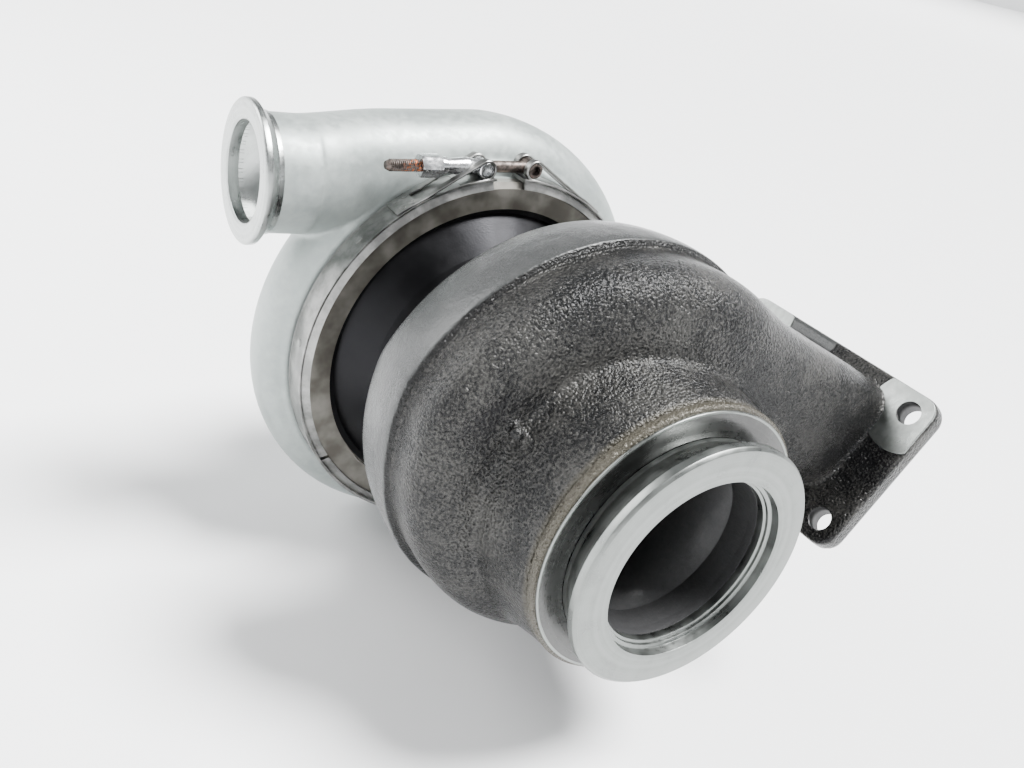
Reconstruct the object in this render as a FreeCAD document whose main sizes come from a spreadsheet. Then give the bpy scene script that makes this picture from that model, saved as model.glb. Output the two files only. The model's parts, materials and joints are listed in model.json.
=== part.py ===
import FreeCAD, Part
import math
import os

import Sketcher
from FreeCAD import Placement, Rotation, Vector

# Large twin-scroll exhaust turbocharger, in millimetres.
# The rotor turns about the Y axis. The turbine outlet face lies in the plane Y = 0 and the
# compressor is at +Y. Z points up, and the compressor outlet points along -X.
# Angles about the rotor are measured from +X towards +Z, as seen from the turbine side.

SIZES = {
    "Turbine outlet": {
        "outlet_bore_radius": 51.5,
        "outlet_recess_depth": 5.0,
        "outlet_duct_radius": 48.0,
        "outlet_rim_radius": 70.0,
        "outlet_rim_width": 5.6,
        "outlet_rim_chamfer": 2.0,
        "outlet_groove_radius": 63.2,
        "outlet_groove_start": 17.6,
        "neck_face": 20.5,
        "neck_chamfer": 1.2,
        "neck_radius": 79.5,
        "neck_band": 6.5,
        "neck_root_radius": 89.0,
        "neck_root": 70.0,
    },
    "Turbine scroll": {
        "turbine_scroll_radius": 129.0,
        "turbine_scroll_end_radius": 80.0,
        "turbine_scroll_front": 49.0,
        "turbine_scroll_setback": 17.0,
        "turbine_scroll_back": 150.0,
        "turbine_scroll_middle": 100.0,
        "turbine_scroll_foot": 58.0,
        "turbine_wall": 8.0,
        "turbine_back_wall": 16.0,
        "divider_thickness": 9.0,
        "throat_radius": 72.0,
        "turbine_rear_face": 148.0,
        "turbine_rear_radius": 92.0,
    },
    "Turbine inlet flange": {
        "inlet_angle": -31.5,
        "inlet_flange_face": 140.0,
        "inlet_flange_thickness": 14.0,
        "inlet_flange_length": 157.0,
        "inlet_flange_width": 108.0,
        "inlet_flange_offset": 96.5,
        "inlet_flange_corner": 11.0,
        "inlet_hole_radius": 7.0,
        "inlet_hole_spacing_along": 128.0,
        "inlet_hole_spacing_across": 80.0,
        "inlet_duct_low": 66.0,
        "inlet_duct_high": 141.0,
    },
    "Rotor": {
        "turbine_inducer_radius": 46.0,
        "turbine_exducer_radius": 42.0,
        "turbine_hub_nose": 58.0,
        "turbine_exducer_plane": 66.0,
        "turbine_tip_front": 92.5,
        "turbine_tip_back": 107.0,
        "turbine_back_face": 109.5,
        "turbine_blade_count": 11,
        "seal_boss_radius": 10.3,
        "seal_boss_end": 124.0,
        "journal_radius": 8.0,
        "journal_end": 196.0,
        "stud_radius": 5.5,
        "stud_end": 298.0,
        "compressor_exducer_radius": 51.0,
        "compressor_inducer_radius": 37.0,
        "compressor_back_face": 234.0,
        "compressor_tip_width": 6.0,
        "compressor_inducer_plane": 273.0,
        "compressor_nose": 284.0,
        "compressor_nose_radius": 11.5,
        "compressor_blade_count": 7,
        "rotor_nut_length": 9.0,
        "rotor_nut_radius": 9.0,
        "tip_clearance": 0.4,
    },
    "Bearings and seals": {
        "bush_outer_radius": 12.5,
        "bush_length": 16.0,
        "turbine_bush_start": 130.0,
        "compressor_bush_start": 172.0,
        "bush_inner_clearance": 0.03,
        "bush_outer_clearance": 0.05,
        "bush_side_clearance": 0.4,
        "snap_ring_width": 1.4,
        "snap_ring_inner_radius": 10.6,
        "snap_ring_depth": 1.6,
        "collar_radius": 17.0,
        "collar_flange_width": 3.5,
        "collar_hub_radius": 10.5,
        "thrust_pad_thickness": 4.0,
        "thrust_pad_radius": 30.0,
        "thrust_clearance": 0.3,
        "flinger_flange_width": 2.8,
        "flinger_hub_radius": 12.0,
        "deflector_thickness": 1.5,
        "ring_groove_width": 2.2,
        "ring_groove_depth": 1.8,
        "ring_width": 1.8,
        "housing_seal_radius": 1.1,
        "backplate_seal_radius": 0.9,
    },
    "Bearing housing": {
        "plug_radius": 59.7,
        "plug_front": 115.5,
        "turbine_flange_radius": 70.0,
        "turbine_flange_front": 138.0,
        "housing_waist_radius": 38.0,
        "backplate_joint": 206.0,
        "housing_end_radius": 72.0,
        "housing_end_thickness": 9.0,
        "oil_port_station": 172.0,
        "shield_thickness": 1.2,
        "shield_hub_radius": 22.0,
        "oil_inlet_height": 62.0,
        "oil_inlet_boss_radius": 17.0,
        "oil_inlet_radius": 6.0,
        "oil_inlet_depth": 18.0,
        "oil_gallery_radius": 2.5,
        "oil_drain_depth": 66.0,
        "oil_drain_radius": 14.0,
        "oil_drain_wall": 5.0,
        "oil_drain_roof": 19.0,
        "drain_flange_length": 78.0,
        "drain_flange_width": 38.0,
        "drain_flange_thickness": 12.0,
        "drain_flange_corner": 10.0,
        "drain_bolt_spacing": 54.0,
        "drain_bolt_radius": 4.2,
    },
    "Backplate": {
        "band_flange_radius": 116.0,
        "band_joint": 230.0,
        "band_lip_radius": 112.4,
        "band_bevel": 2.0,
        "backplate_rim_front": 222.0,
        "backplate_recess_radius": 99.8,
        "backplate_web_front": 226.0,
        "diffuser_face": 236.0,
        "backplate_pilot_radius": 104.0,
        "backplate_bolt_circle": 58.0,
        "backplate_bolt_radius": 4.0,
        "backplate_bolt_count": 6,
        "backplate_bolt_grip": 19.0,
        "backplate_hole_depth": 15.0,
    },
    "Compressor housing": {
        "diffuser_width": 6.0,
        "diffuser_exit_radius": 92.0,
        "compressor_band_back": 236.0,
        "compressor_band_groove_radius": 109.0,
        "compressor_band_groove_end": 240.0,
        "compressor_shoulder_radius": 123.0,
        "compressor_scroll_radius": 133.0,
        "compressor_scroll_growth": 11.0,
        "compressor_scroll_start": 17.0,
        "compressor_scroll_end": 38.0,
        "compressor_scroll_front": 241.5,
        "compressor_scroll_depth": 34.0,
        "compressor_scroll_end_depth": 62.0,
        "compressor_wall": 5.5,
        "compressor_outlet_height": 102.0,
        "compressor_outlet_plane": 260.5,
        "compressor_outlet_reach": 151.0,
        "compressor_outlet_radius": 39.5,
        "compressor_outlet_bore": 27.8,
        "compressor_tube_radius": 32.5,
        "compressor_outlet_rim": 4.0,
        "outlet_land": 0.7,
        "inlet_tube_radius": 57.0,
        "inlet_bore_radius": 50.5,
        "inlet_tube_end": 346.0,
        "inlet_bead": 1.6,
        "inlet_neck_radius": 66.0,
        "inlet_neck": 300.0,
    },
    "Band clamp": {
        "strap_radius": 117.8,
        "strap_thickness": 1.2,
        "strap_front": 220.5,
        "strap_width": 17.5,
        "strap_gap_angle": 92.5,
        "strap_gap": 19.6,
        "loop_radius": 6.2,
        "retainer_thickness": 1.6,
        "retainer_leg_radius": 112.8,
        "retainer_clearance": 0.3,
        "retainer_count": 3,
        "loop_share": 0.27,
        "t_bolt_radius": 3.5,
        "t_bolt_length": 94.0,
        "trunnion_wall": 1.7,
        "trunnion_length": 20.0,
        "clamp_nut_radius": 7.0,
        "clamp_nut_length": 13.0,
    },
    "Fasteners": {
        "clamp_plate_thickness": 4.0,
        "clamp_bolt_circle": 80.0,
        "clamp_bolt_radius": 4.0,
        "clamp_bolt_count": 6,
        "clamp_bolt_first_angle": 30.0,
        "clamp_bolt_grip": 14.0,
        "clamp_hole_depth": 11.0,
        "clamp_plate_slot": 14.0,
        "bolt_head_ratio": 1.7,
        "bolt_head_length": 5.5,
        "thread_clearance": 0.15,
        "bolt_hole_clearance": 0.3,
    },
}


class Size:
    """A length that knows its present value and the sheet expression it comes from."""

    def __init__(self, value, text=None):
        self.value = float(value)
        self.text = text if text is not None else repr(float(value))

    def _join(self, other, sign, value):
        return Size(value, "(%s %s %s)" % (self.text, sign, other.text))

    def __add__(self, other):
        other = as_size(other)
        return self._join(other, "+", self.value + other.value)

    def __sub__(self, other):
        other = as_size(other)
        return self._join(other, "-", self.value - other.value)

    def __mul__(self, other):
        other = as_size(other)
        return self._join(other, "*", self.value * other.value)

    def __truediv__(self, other):
        other = as_size(other)
        return self._join(other, "/", self.value / other.value)

    def __rsub__(self, other):
        return as_size(other) - self

    __radd__ = __add__
    __rmul__ = __mul__

    def __float__(self):
        return self.value


def as_size(value):
    return value if isinstance(value, Size) else Size(value)


class Sizes:
    """Every alias of the sheet as an attribute that is a Size."""


doc = FreeCAD.newDocument("turbocharger")
sheet = doc.addObject("Spreadsheet::Sheet", "Sizes")
size = Sizes()
row = 1
for group, entries in SIZES.items():
    sheet.set("A%d" % row, group)
    row += 1
    for alias, value in entries.items():
        sheet.set("A%d" % row, alias.replace("_", " "))
        sheet.set("B%d" % row, str(value))
        sheet.setAlias("B%d" % row, alias)
        setattr(size, alias, Size(value, "Sizes." + alias))
        row += 1
doc.recompute()

PARTS = []
# sub-parts that are a group of identical pieces, with how many pieces each has
PIECES = {
    "turbine_clamp_plates": 2,
    "turbine_clamp_bolts": int(size.clamp_bolt_count.value),
    "bush_snap_rings": 4,
    "clamp_retainers": int(size.retainer_count.value),
    "backplate_bolts": int(size.backplate_bolt_count.value),
}


def keep(part, label):
    """Registers an object of the document as one sub-part."""
    part.Label = label
    PARTS.append(part)
    return part


def origin_item(body, role):
    return next(item for item in body.Origin.OriginFeatures if item.Role == role)


def new_sketch(body, plane, name):
    sketch = body.newObject("Sketcher::SketchObject", name)
    sketch.AttachmentSupport = (origin_item(body, plane), [""])
    sketch.MapMode = "FlatFace"
    return sketch


def hold(sketch, constraint, value):
    """Adds a sized constraint to a sketch and binds it to the sheet."""
    index = sketch.addConstraint(constraint)
    sketch.setExpression("Constraints[%d]" % index, as_size(value).text)


def pin_point(sketch, geometry, point, across, along):
    """Holds one point of a sketch at a place given by two sizes."""
    for kind, place in (("DistanceX", across), ("DistanceY", along)):
        value = as_size(place).value
        hold(sketch, Sketcher.Constraint(kind, -1, 1, geometry, point, value), place)


def draw_outline(sketch, corners):
    """A closed outline of straight lines whose corners are pairs of sizes."""
    corners = [(as_size(across), as_size(along)) for across, along in corners]
    count = len(corners)
    for start, end in zip(corners, corners[1:] + corners[:1]):
        sketch.addGeometry(Part.LineSegment(Vector(start[0].value, start[1].value, 0),
                                            Vector(end[0].value, end[1].value, 0)))
    for index in range(count):
        sketch.addConstraint(Sketcher.Constraint("Coincident", index, 2, (index + 1) % count, 1))
    for index, (across, along) in enumerate(corners):
        pin_point(sketch, index, 1, across, along)


def draw_circle(sketch, across, along, radius):
    centre = Vector(as_size(across).value, as_size(along).value, 0)
    index = sketch.addGeometry(Part.Circle(centre, Vector(0, 0, 1), as_size(radius).value))
    pin_point(sketch, index, 3, across, along)
    hold(sketch, Sketcher.Constraint("Radius", index, as_size(radius).value), radius)


def lathe(label, corners):
    """A body turned about the rotor axis from (radius, station) corners."""
    body = doc.addObject("PartDesign::Body", label)
    sketch = new_sketch(body, "XY_Plane", label + "_outline")
    draw_outline(sketch, corners)
    turned = body.newObject("PartDesign::Revolution", label + "_turned")
    turned.Profile = sketch
    turned.ReferenceAxis = (sketch, ["V_Axis"])
    turned.Angle = 360
    return body


def drill_ring(body, name, hole_radius, circle_radius, count, start, depth):
    """Blind holes towards +Y from a start station, evenly spaced on a circle from +X."""
    sketch = new_sketch(body, "XZ_Plane", name + "_sketch")
    sketch.setExpression("AttachmentOffset.Base.z", "-" + start.text)
    draw_circle(sketch, circle_radius, 0, hole_radius)
    drilled = body.newObject("PartDesign::Pocket", name)
    drilled.Profile = sketch
    drilled.setExpression("Length", depth.text)
    doc.recompute()
    pattern = body.newObject("PartDesign::PolarPattern", name + "_ring")
    pattern.Originals = [drilled]
    pattern.Axis = (origin_item(body, "Y_Axis"), [""])
    pattern.Angle = 360
    pattern.setExpression("Occurrences", as_size(count).text)
    body.Tip = pattern


def feature(label, shape):
    """A sub-part whose shape is made with Part's own functions."""
    part = doc.addObject("Part::Feature", label)
    part.Shape = shape
    part.Placement = Placement()
    return keep(part, label)


AXIS = Vector(0, 1, 0)


def turned(corners):
    """A solid turned about the rotor axis from (radius, station) corners."""
    points = [Vector(float(radius), float(station), 0) for radius, station in corners]
    face = Part.Face(Part.makePolygon(points + points[:1]))
    return face.revolve(Vector(0, 0, 0), AXIS, 360)


def rod(radius, start, end):
    """A round bar along the rotor axis."""
    return Part.makeCylinder(float(radius), float(end) - float(start),
                             Vector(0, float(start), 0), AXIS)


def polar(radius, angle, station):
    """A point at a radius and an angle in degrees about the rotor axis."""
    turn = math.radians(angle)
    return Vector(radius * math.cos(turn), station, radius * math.sin(turn))


def spread(shape, count, first_angle=0.0):
    """Copies of a shape turned evenly about the rotor axis. It is drawn at +X."""
    copies = []
    for index in range(int(float(count))):
        angle = first_angle + 360.0 * index / float(count)
        turn = Placement(Vector(0, 0, 0), Rotation(AXIS, -angle))
        copies.append(shape.transformed(turn.Matrix, True))
    return copies


def closed_curve(points):
    curve = Part.BSplineCurve()
    curve.interpolate(Points=points, PeriodicFlag=True)
    return Part.Wire([curve.toShape()])


def oval(centre, side, up, half_side, half_up, squareness=2.0, count=16):
    """A closed superellipse: squareness 2 is an ellipse, and more is nearer a rectangle."""
    points = []
    for index in range(count):
        turn = 2 * math.pi * index / count
        cosine, sine = math.cos(turn), math.sin(turn)
        reach = (abs(cosine) ** squareness + abs(sine) ** squareness) ** (-1.0 / squareness)
        points.append(centre + side * (half_side * reach * cosine) + up * (half_up * reach * sine))
    return closed_curve(points)


def hexagon_bar(radius, start, end):
    """A hexagonal bar along the rotor axis; radius is to its corners."""
    corners = [polar(float(radius), 60.0 * index, float(start)) for index in range(6)]
    face = Part.Face(Part.makePolygon(corners + corners[:1]))
    return face.extrude(Vector(0, float(end) - float(start), 0))


def bolt(radius, circle, seat, side, grip):
    """A hex bolt along the rotor axis at +X. side is +1 when its head is at +Y of the seat."""
    seat = float(seat)
    top = seat + side * float(size.bolt_head_length)
    foot = seat - side * float(grip)
    head = hexagon_bar(float(radius) * float(size.bolt_head_ratio), min(seat, top), max(seat, top))
    shank = rod(float(radius) - float(size.thread_clearance), min(foot, seat), max(foot, seat))
    one = head.fuse(shank)
    one.translate(Vector(float(circle), 0, 0))
    return one


def hole_ring(radius, circle, start, end, count, first_angle=0.0):
    """Round cutters along the rotor axis, evenly spaced on a circle."""
    hole = rod(radius, start, end)
    hole.translate(Vector(float(circle), 0, 0))
    return spread(hole, count, first_angle)


# ---------------------------------------------------------------- turbine side

def inlet_axes():
    """The inlet flange's outward normal and its across direction."""
    turn = math.radians(float(size.inlet_angle))
    return (Vector(math.cos(turn), 0, math.sin(turn)),
            Vector(-math.sin(turn), 0, math.cos(turn)))


SCROLL_FIRST = 90.0     # from the inlet's angle to the first scroll section
SCROLL_SPAN = 342.0
FULL_SPAN = 97.0        # the scroll keeps its full radius this far
SETBACK_SPAN = 70.0     # its front wall falls back over this turn
SCROLL_STEP = 18


def turbine_scroll_radius(turn):
    """Outer radius of the scroll at an angle past its first section."""
    full = float(size.turbine_scroll_radius)
    end = float(size.turbine_scroll_end_radius)
    if turn <= FULL_SPAN:
        return full
    left = (SCROLL_SPAN - turn) / (SCROLL_SPAN - FULL_SPAN)
    return end + (full - end) * left ** 2.1


def turbine_scroll_walls(turn):
    """Front and back station of the scroll's outside at an angle past its first section."""
    share = min(turn / SETBACK_SPAN, 1.0)
    eased = share * share * (3 - 2 * share)
    front = float(size.turbine_scroll_front) + float(size.turbine_scroll_setback) * eased
    back = float(size.turbine_scroll_back) - 0.6 * float(size.turbine_scroll_setback) * turn / SCROLL_SPAN
    return front, back


def scroll_angle(turn):
    return float(size.inlet_angle) + SCROLL_FIRST + turn


def scroll_stations():
    """The scroll's path from the flange inwards and round the rotor.

    Each station is an origin, a direction away from the rotor, the inner and outer reach of
    the casting along it, and the casting's front and back."""
    normal, across = inlet_axes()
    foot = float(size.turbine_scroll_foot)
    full = float(size.turbine_scroll_radius)
    low = float(size.inlet_duct_low)
    high = float(size.inlet_duct_high)
    front, back = turbine_scroll_walls(0.0)
    face = float(size.inlet_flange_face)
    stations = []
    for share in (1.0, 0.7, 0.4):
        stations.append((normal * (face * share), across, foot + (low - foot) * share,
                         full + (high - full) * share, front, back))
    for turn in range(0, int(SCROLL_SPAN) + 1, SCROLL_STEP):
        front, back = turbine_scroll_walls(turn)
        stations.append((Vector(), polar(1.0, scroll_angle(turn), 0.0), foot,
                         turbine_scroll_radius(turn), front, back))
    return stations


def scroll_body():
    """The casting's outside, with its crest at the parting line."""
    shape = ((0.03, 0.0), (0.0, 0.45), (0.03, 0.72), (0.12, 0.90), (0.28, 0.965), (0.44, 1.0),
             (0.72, 0.975), (0.93, 0.915), (1.0, 0.75), (0.99, 0.0))
    wires = []
    for index, (origin, across, foot, outer, front, back) in enumerate(scroll_stations()):
        if index == 0:
            origin = origin * (1 - float(size.inlet_flange_thickness) / 2 / origin.Length)
        wires.append(closed_curve([
            origin + across * (foot + (outer - foot) * high) + AXIS * (front + (back - front) * along)
            for along, high in shape]))
    return Part.makeLoft(wires, True)


def gas_channel(near):
    """One of the two gas passages from the flange to the end of the scroll."""
    wall = float(size.turbine_wall)
    extra_wall = float(size.turbine_back_wall) - wall
    middle = float(size.turbine_scroll_middle)
    half_divider = float(size.divider_thickness) / 2
    least_height = 12.0
    past_face = 1.0
    wires = []
    for index, (origin, across, foot, outer, front, back) in enumerate(scroll_stations()[:-1]):
        if index == 0:
            origin = origin * (1 + past_face / origin.Length)
        # the back wall thickens past the flange, where the clamp bolts are tapped into it
        back_wall = wall + extra_wall * min(index / 2, 1)
        if near:
            low, high = front + wall, middle - half_divider
        else:
            low, high = middle + half_divider, back - back_wall
        inner = foot + wall
        outer = max(outer - wall - 2.0, inner + least_height)
        centre = origin + AXIS * ((low + high) / 2) + across * ((inner + outer) / 2)
        wires.append(oval(centre, AXIS, across, (high - low) / 2, (outer - inner) / 2, 3.2))
    return Part.makeLoft(wires, True)


def inlet_flange():
    """The four-hole flange plate, drawn flat and then set square to its normal."""
    normal, across = inlet_axes()
    thick = float(size.inlet_flange_thickness)
    length = float(size.inlet_flange_length)
    width = float(size.inlet_flange_width)
    plate = Part.makeBox(length, width, thick, Vector(-length / 2, -width / 2, -thick))
    upright = [edge for edge in plate.Edges
               if abs(edge.Vertexes[0].Z - edge.Vertexes[1].Z) > thick / 2]
    plate = plate.makeFillet(float(size.inlet_flange_corner), upright)
    for along in (-0.5, 0.5):
        for over in (-0.5, 0.5):
            place = Vector(along * float(size.inlet_hole_spacing_along),
                           over * float(size.inlet_hole_spacing_across), -2 * thick)
            plate = plate.cut(Part.makeCylinder(float(size.inlet_hole_radius), 3 * thick, place))
    frame = FreeCAD.Matrix(AXIS.x, across.x, normal.x, 0, AXIS.y, across.y, normal.y, 0,
                           AXIS.z, across.z, normal.z, 0, 0, 0, 0, 1)
    place = Placement(frame)
    place.Base = (normal * float(size.inlet_flange_face)
                  + AXIS * float(size.turbine_scroll_middle)
                  + across * float(size.inlet_flange_offset))
    plate.Placement = place
    return plate


def wheel_chamber():
    """The space that the wheel turns in, open to both channels and to the outlet."""
    gap = float(size.tip_clearance)
    exducer = float(size.turbine_exducer_radius) + gap
    inducer = float(size.turbine_inducer_radius) + gap
    throat = float(size.throat_radius)
    middle = float(size.turbine_scroll_middle)
    mouth = float(size.divider_thickness) / 2 + 7.0
    front = float(size.turbine_tip_front)
    back = float(size.turbine_tip_back)
    duct = float(size.outlet_duct_radius)
    rear = float(size.turbine_rear_face)
    flange_seat = float(size.turbine_flange_front)
    shield_seat = size.plug_front - size.shield_thickness
    return turned([
        (0, -1), (size.outlet_bore_radius, -1), (size.outlet_bore_radius, size.outlet_recess_depth),
        (duct, size.outlet_recess_depth), (duct, float(size.outlet_recess_depth) + 12.0),
        (exducer, float(size.turbine_exducer_plane) - 8.0), (exducer, size.turbine_exducer_plane),
        (exducer + 0.7, front - 12.0), (inducer, front), (throat, middle - mouth),
        (throat, middle + mouth), (inducer, back), (inducer, shield_seat),
        (float(size.plug_radius) + 0.3, shield_seat),
        (float(size.plug_radius) + 0.3, flange_seat),
        (float(size.turbine_flange_radius) + 0.3, flange_seat),
        (float(size.turbine_flange_radius) + 0.3, rear + 1.0), (0, rear + 1.0)])


def turbine_housing():
    core = turned([
        (0, 0), (size.outlet_rim_radius - size.outlet_rim_chamfer, 0),
        (size.outlet_rim_radius, size.outlet_rim_chamfer),
        (size.outlet_rim_radius, size.outlet_rim_width),
        (size.outlet_groove_radius, size.outlet_groove_start),
        (size.outlet_groove_radius, size.neck_face),
        (size.neck_radius - size.neck_chamfer, size.neck_face),
        (size.neck_radius, size.neck_face + size.neck_chamfer),
        (size.neck_radius, size.neck_face + size.neck_band),
        (size.neck_root_radius, size.neck_root), (size.neck_root_radius, size.neck_root + 12.0),
        (size.turbine_rear_radius, size.neck_root + 20.0),
        (size.turbine_rear_radius, size.turbine_rear_face), (0, size.turbine_rear_face)])
    casting = core.fuse([scroll_body(), inlet_flange()])
    rear = float(size.turbine_rear_face)
    machining = rod(size.turbine_rear_radius, rear, rear + 4 * float(size.turbine_wall))
    casting = casting.cut([wheel_chamber(), gas_channel(True), gas_channel(False), machining])
    casting = casting.cut(hole_ring(
        size.clamp_bolt_radius, size.clamp_bolt_circle, size.turbine_rear_face - size.clamp_hole_depth,
        size.turbine_rear_face + 1.0, size.clamp_bolt_count, float(size.clamp_bolt_first_angle)))
    return feature("turbine_housing", casting)


def turbine_clamps():
    """Two arc plates and their bolts, which hold the bearing housing into the casting."""
    rear = float(size.turbine_rear_face)
    thick = float(size.clamp_plate_thickness)
    inner = float(size.turbine_flange_radius) - 5.0
    outer = float(size.turbine_rear_radius) - 2.0
    ring = turned([(inner, rear), (outer, rear), (outer, rear + thick), (inner, rear + thick)])
    gap = float(size.clamp_plate_slot)
    slot = Part.makeBox(2 * outer + 2, thick + 2, gap, Vector(-outer - 1, rear - 1, -gap / 2))
    first = float(size.clamp_bolt_first_angle)
    holes = hole_ring(size.clamp_bolt_radius + size.bolt_hole_clearance, size.clamp_bolt_circle,
                      rear - 1, rear + thick + 1, size.clamp_bolt_count, first)
    feature("turbine_clamp_plates", ring.cut([slot] + holes))
    one = bolt(size.clamp_bolt_radius, size.clamp_bolt_circle, rear + thick, 1, size.clamp_bolt_grip)
    feature("turbine_clamp_bolts", Part.makeCompound(spread(one, size.clamp_bolt_count, first)))


def heat_shield():
    thick = size.shield_thickness
    front = size.turbine_back_face + 1.6
    seat = size.plug_front - size.shield_thickness
    keep(lathe("heat_shield", [
        (size.shield_hub_radius, front), (size.turbine_inducer_radius - 4, front),
        (size.turbine_inducer_radius, seat), (size.plug_radius - 0.5, seat),
        (size.plug_radius - 0.5, size.plug_front), (size.turbine_inducer_radius - 0.5, size.plug_front),
        (size.turbine_inducer_radius - 4.5, front + thick), (size.shield_hub_radius, front + thick)]),
        "heat_shield")


# ---------------------------------------------------------------- rotor

def blade(path, thickness, lean):
    """A blade lofted along stations of (hub radius, hub y, tip radius, tip y, angle)."""
    wires = []
    for hub_radius, hub_y, tip_radius, tip_y, angle in path:
        half_hub = math.degrees(thickness / 2 / max(hub_radius, 4.0))
        half_tip = math.degrees(thickness * 0.35 / tip_radius)
        corners = [polar(hub_radius, angle - half_hub, hub_y), polar(hub_radius, angle + half_hub, hub_y),
                   polar(tip_radius, angle + lean + half_tip, tip_y),
                   polar(tip_radius, angle + lean - half_tip, tip_y)]
        wires.append(Part.makePolygon(corners + corners[:1]))
    return Part.makeLoft(wires, True, True)


def turbine_shaft_wheel():
    """The turbine wheel and the shaft that it is welded to, as one piece."""
    tip = float(size.turbine_inducer_radius)
    exducer = float(size.turbine_exducer_radius)
    back = float(size.turbine_back_face)
    nose = float(size.turbine_hub_nose)
    front = float(size.turbine_tip_front)
    boss_end = float(size.seal_boss_end)
    groove = boss_end - 6.0
    seal = float(size.seal_boss_radius)
    floor = seal - float(size.ring_groove_depth)
    body = turned([
        (0, nose), (7.0, nose), (12.0, nose + 5.0), (13.5, nose + 16.0), (17.0, nose + 28.0),
        (24.0, back - 11.0), (33.0, back - 5.0), (tip - 4.0, back - 2.2), (tip - 4.0, back),
        (17.0, back), (15.5, back + 3.0), (seal, back + 3.0), (seal, groove), (floor, groove),
        (floor, groove + float(size.ring_groove_width)), (seal, groove + float(size.ring_groove_width)),
        (seal, boss_end), (size.journal_radius, boss_end), (size.journal_radius, size.journal_end),
        (size.stud_radius, size.journal_end), (size.stud_radius, size.stud_end), (0, size.stud_end)])
    start = float(size.turbine_exducer_plane)
    path = [(10.5, start, exducer, start, 0.0), (11.5, start + 8, exducer + 0.1, start + 9, -16.0),
            (14.0, start + 17, exducer + 0.5, front - 9, -27.0),
            (22.0, back - 12, tip - 1.6, front - 3.5, -32.0),
            (31.0, back - 6, tip, front, -33.0), (tip - 4.5, back - 2.6, tip, back - 2.6, -33.0)]
    blades = spread(blade(path, 2.4, 0.0), size.turbine_blade_count)
    return feature("turbine_shaft_wheel", body.fuse(blades))


def compressor_wheel():
    """The compressor wheel: full blades with a splitter between each two."""
    back = float(size.compressor_back_face)
    tip = float(size.compressor_exducer_radius)
    inducer = float(size.compressor_inducer_radius)
    nose = float(size.compressor_nose)
    plane = float(size.compressor_inducer_plane)
    nose_radius = float(size.compressor_nose_radius)
    face = float(size.diffuser_face)
    width = float(size.compressor_tip_width) - float(size.tip_clearance)
    bore = float(size.stud_radius)
    body = turned([
        (bore, back), (18.0, back), (tip, face - 1.6), (tip, face), (tip - 8.0, face + 1.0),
        (tip - 18.0, face + 4.5), (24.0, face + 12.0), (17.5, face + 22.0), (14.0, face + 32.0),
        (nose_radius, nose), (bore, nose)])
    shroud_mid = inducer + (tip - inducer) * 0.16
    path = [(12.5, plane, inducer, plane, 0.0), (14.5, face + 28, inducer, plane - 9, 24.0),
            (18.0, face + 19, inducer + 0.8, face + 17, 42.0),
            (25.0, face + 10.5, shroud_mid + 1, face + 11.5, 55.0),
            (tip - 18.0, face + 3.9, tip - 7.0, face + 7.4, 66.0),
            (tip - 0.2, face - 0.5, tip, face + width, 84.0)]
    full = spread(blade(path, 1.7, 0.0), size.compressor_blade_count)
    half_pitch = 180.0 / float(size.compressor_blade_count)
    splitter = blade([path[2][:4] + (44.0,)] + path[3:], 1.5, 0.0)
    splitters = spread(splitter, size.compressor_blade_count, half_pitch)
    return feature("compressor_wheel", body.fuse(full + splitters))


def rotor_trim():
    """The collar, flinger sleeve and nut that turn with the shaft."""
    bore = size.stud_radius
    pad = size.journal_end + size.collar_flange_width + size.thrust_clearance
    flinger = pad + size.thrust_pad_thickness + size.thrust_clearance
    keep(lathe("thrust_collar", [
        (bore, size.journal_end), (size.collar_radius, size.journal_end),
        (size.collar_radius, size.journal_end + size.collar_flange_width),
        (size.collar_hub_radius, size.journal_end + size.collar_flange_width),
        (size.collar_hub_radius, flinger), (bore, flinger)]), "thrust_collar")
    hub_end = size.compressor_back_face
    groove = size.backplate_joint + 10
    floor = size.flinger_hub_radius - size.ring_groove_depth
    keep(lathe("flinger_sleeve", [
        (bore, flinger), (size.collar_radius, flinger),
        (size.collar_radius, flinger + size.flinger_flange_width),
        (size.flinger_hub_radius, flinger + size.flinger_flange_width),
        (size.flinger_hub_radius, groove), (floor, groove),
        (floor, groove + size.ring_groove_width), (size.flinger_hub_radius, groove + size.ring_groove_width),
        (size.flinger_hub_radius, hub_end), (bore, hub_end)]), "flinger_sleeve")
    nose = float(size.compressor_nose)
    nut = hexagon_bar(size.rotor_nut_radius, nose, nose + float(size.rotor_nut_length))
    feature("rotor_nut", nut.cut(rod(bore, nose - 1, nose + float(size.rotor_nut_length) + 1)))


def split_ring(inner, outer, start, width):
    """A piston ring or snap ring with a narrow gap at +X."""
    ring = turned([(inner, start), (outer, start), (outer, float(start) + float(width)),
                   (inner, float(start) + float(width))])
    gap = Part.makeBox(float(outer) + 2, float(width) + 2, 1.0,
                       Vector(float(inner) - 1, float(start) - 1, -0.5))
    return ring.cut(gap)


# ---------------------------------------------------------------- bearings

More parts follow.
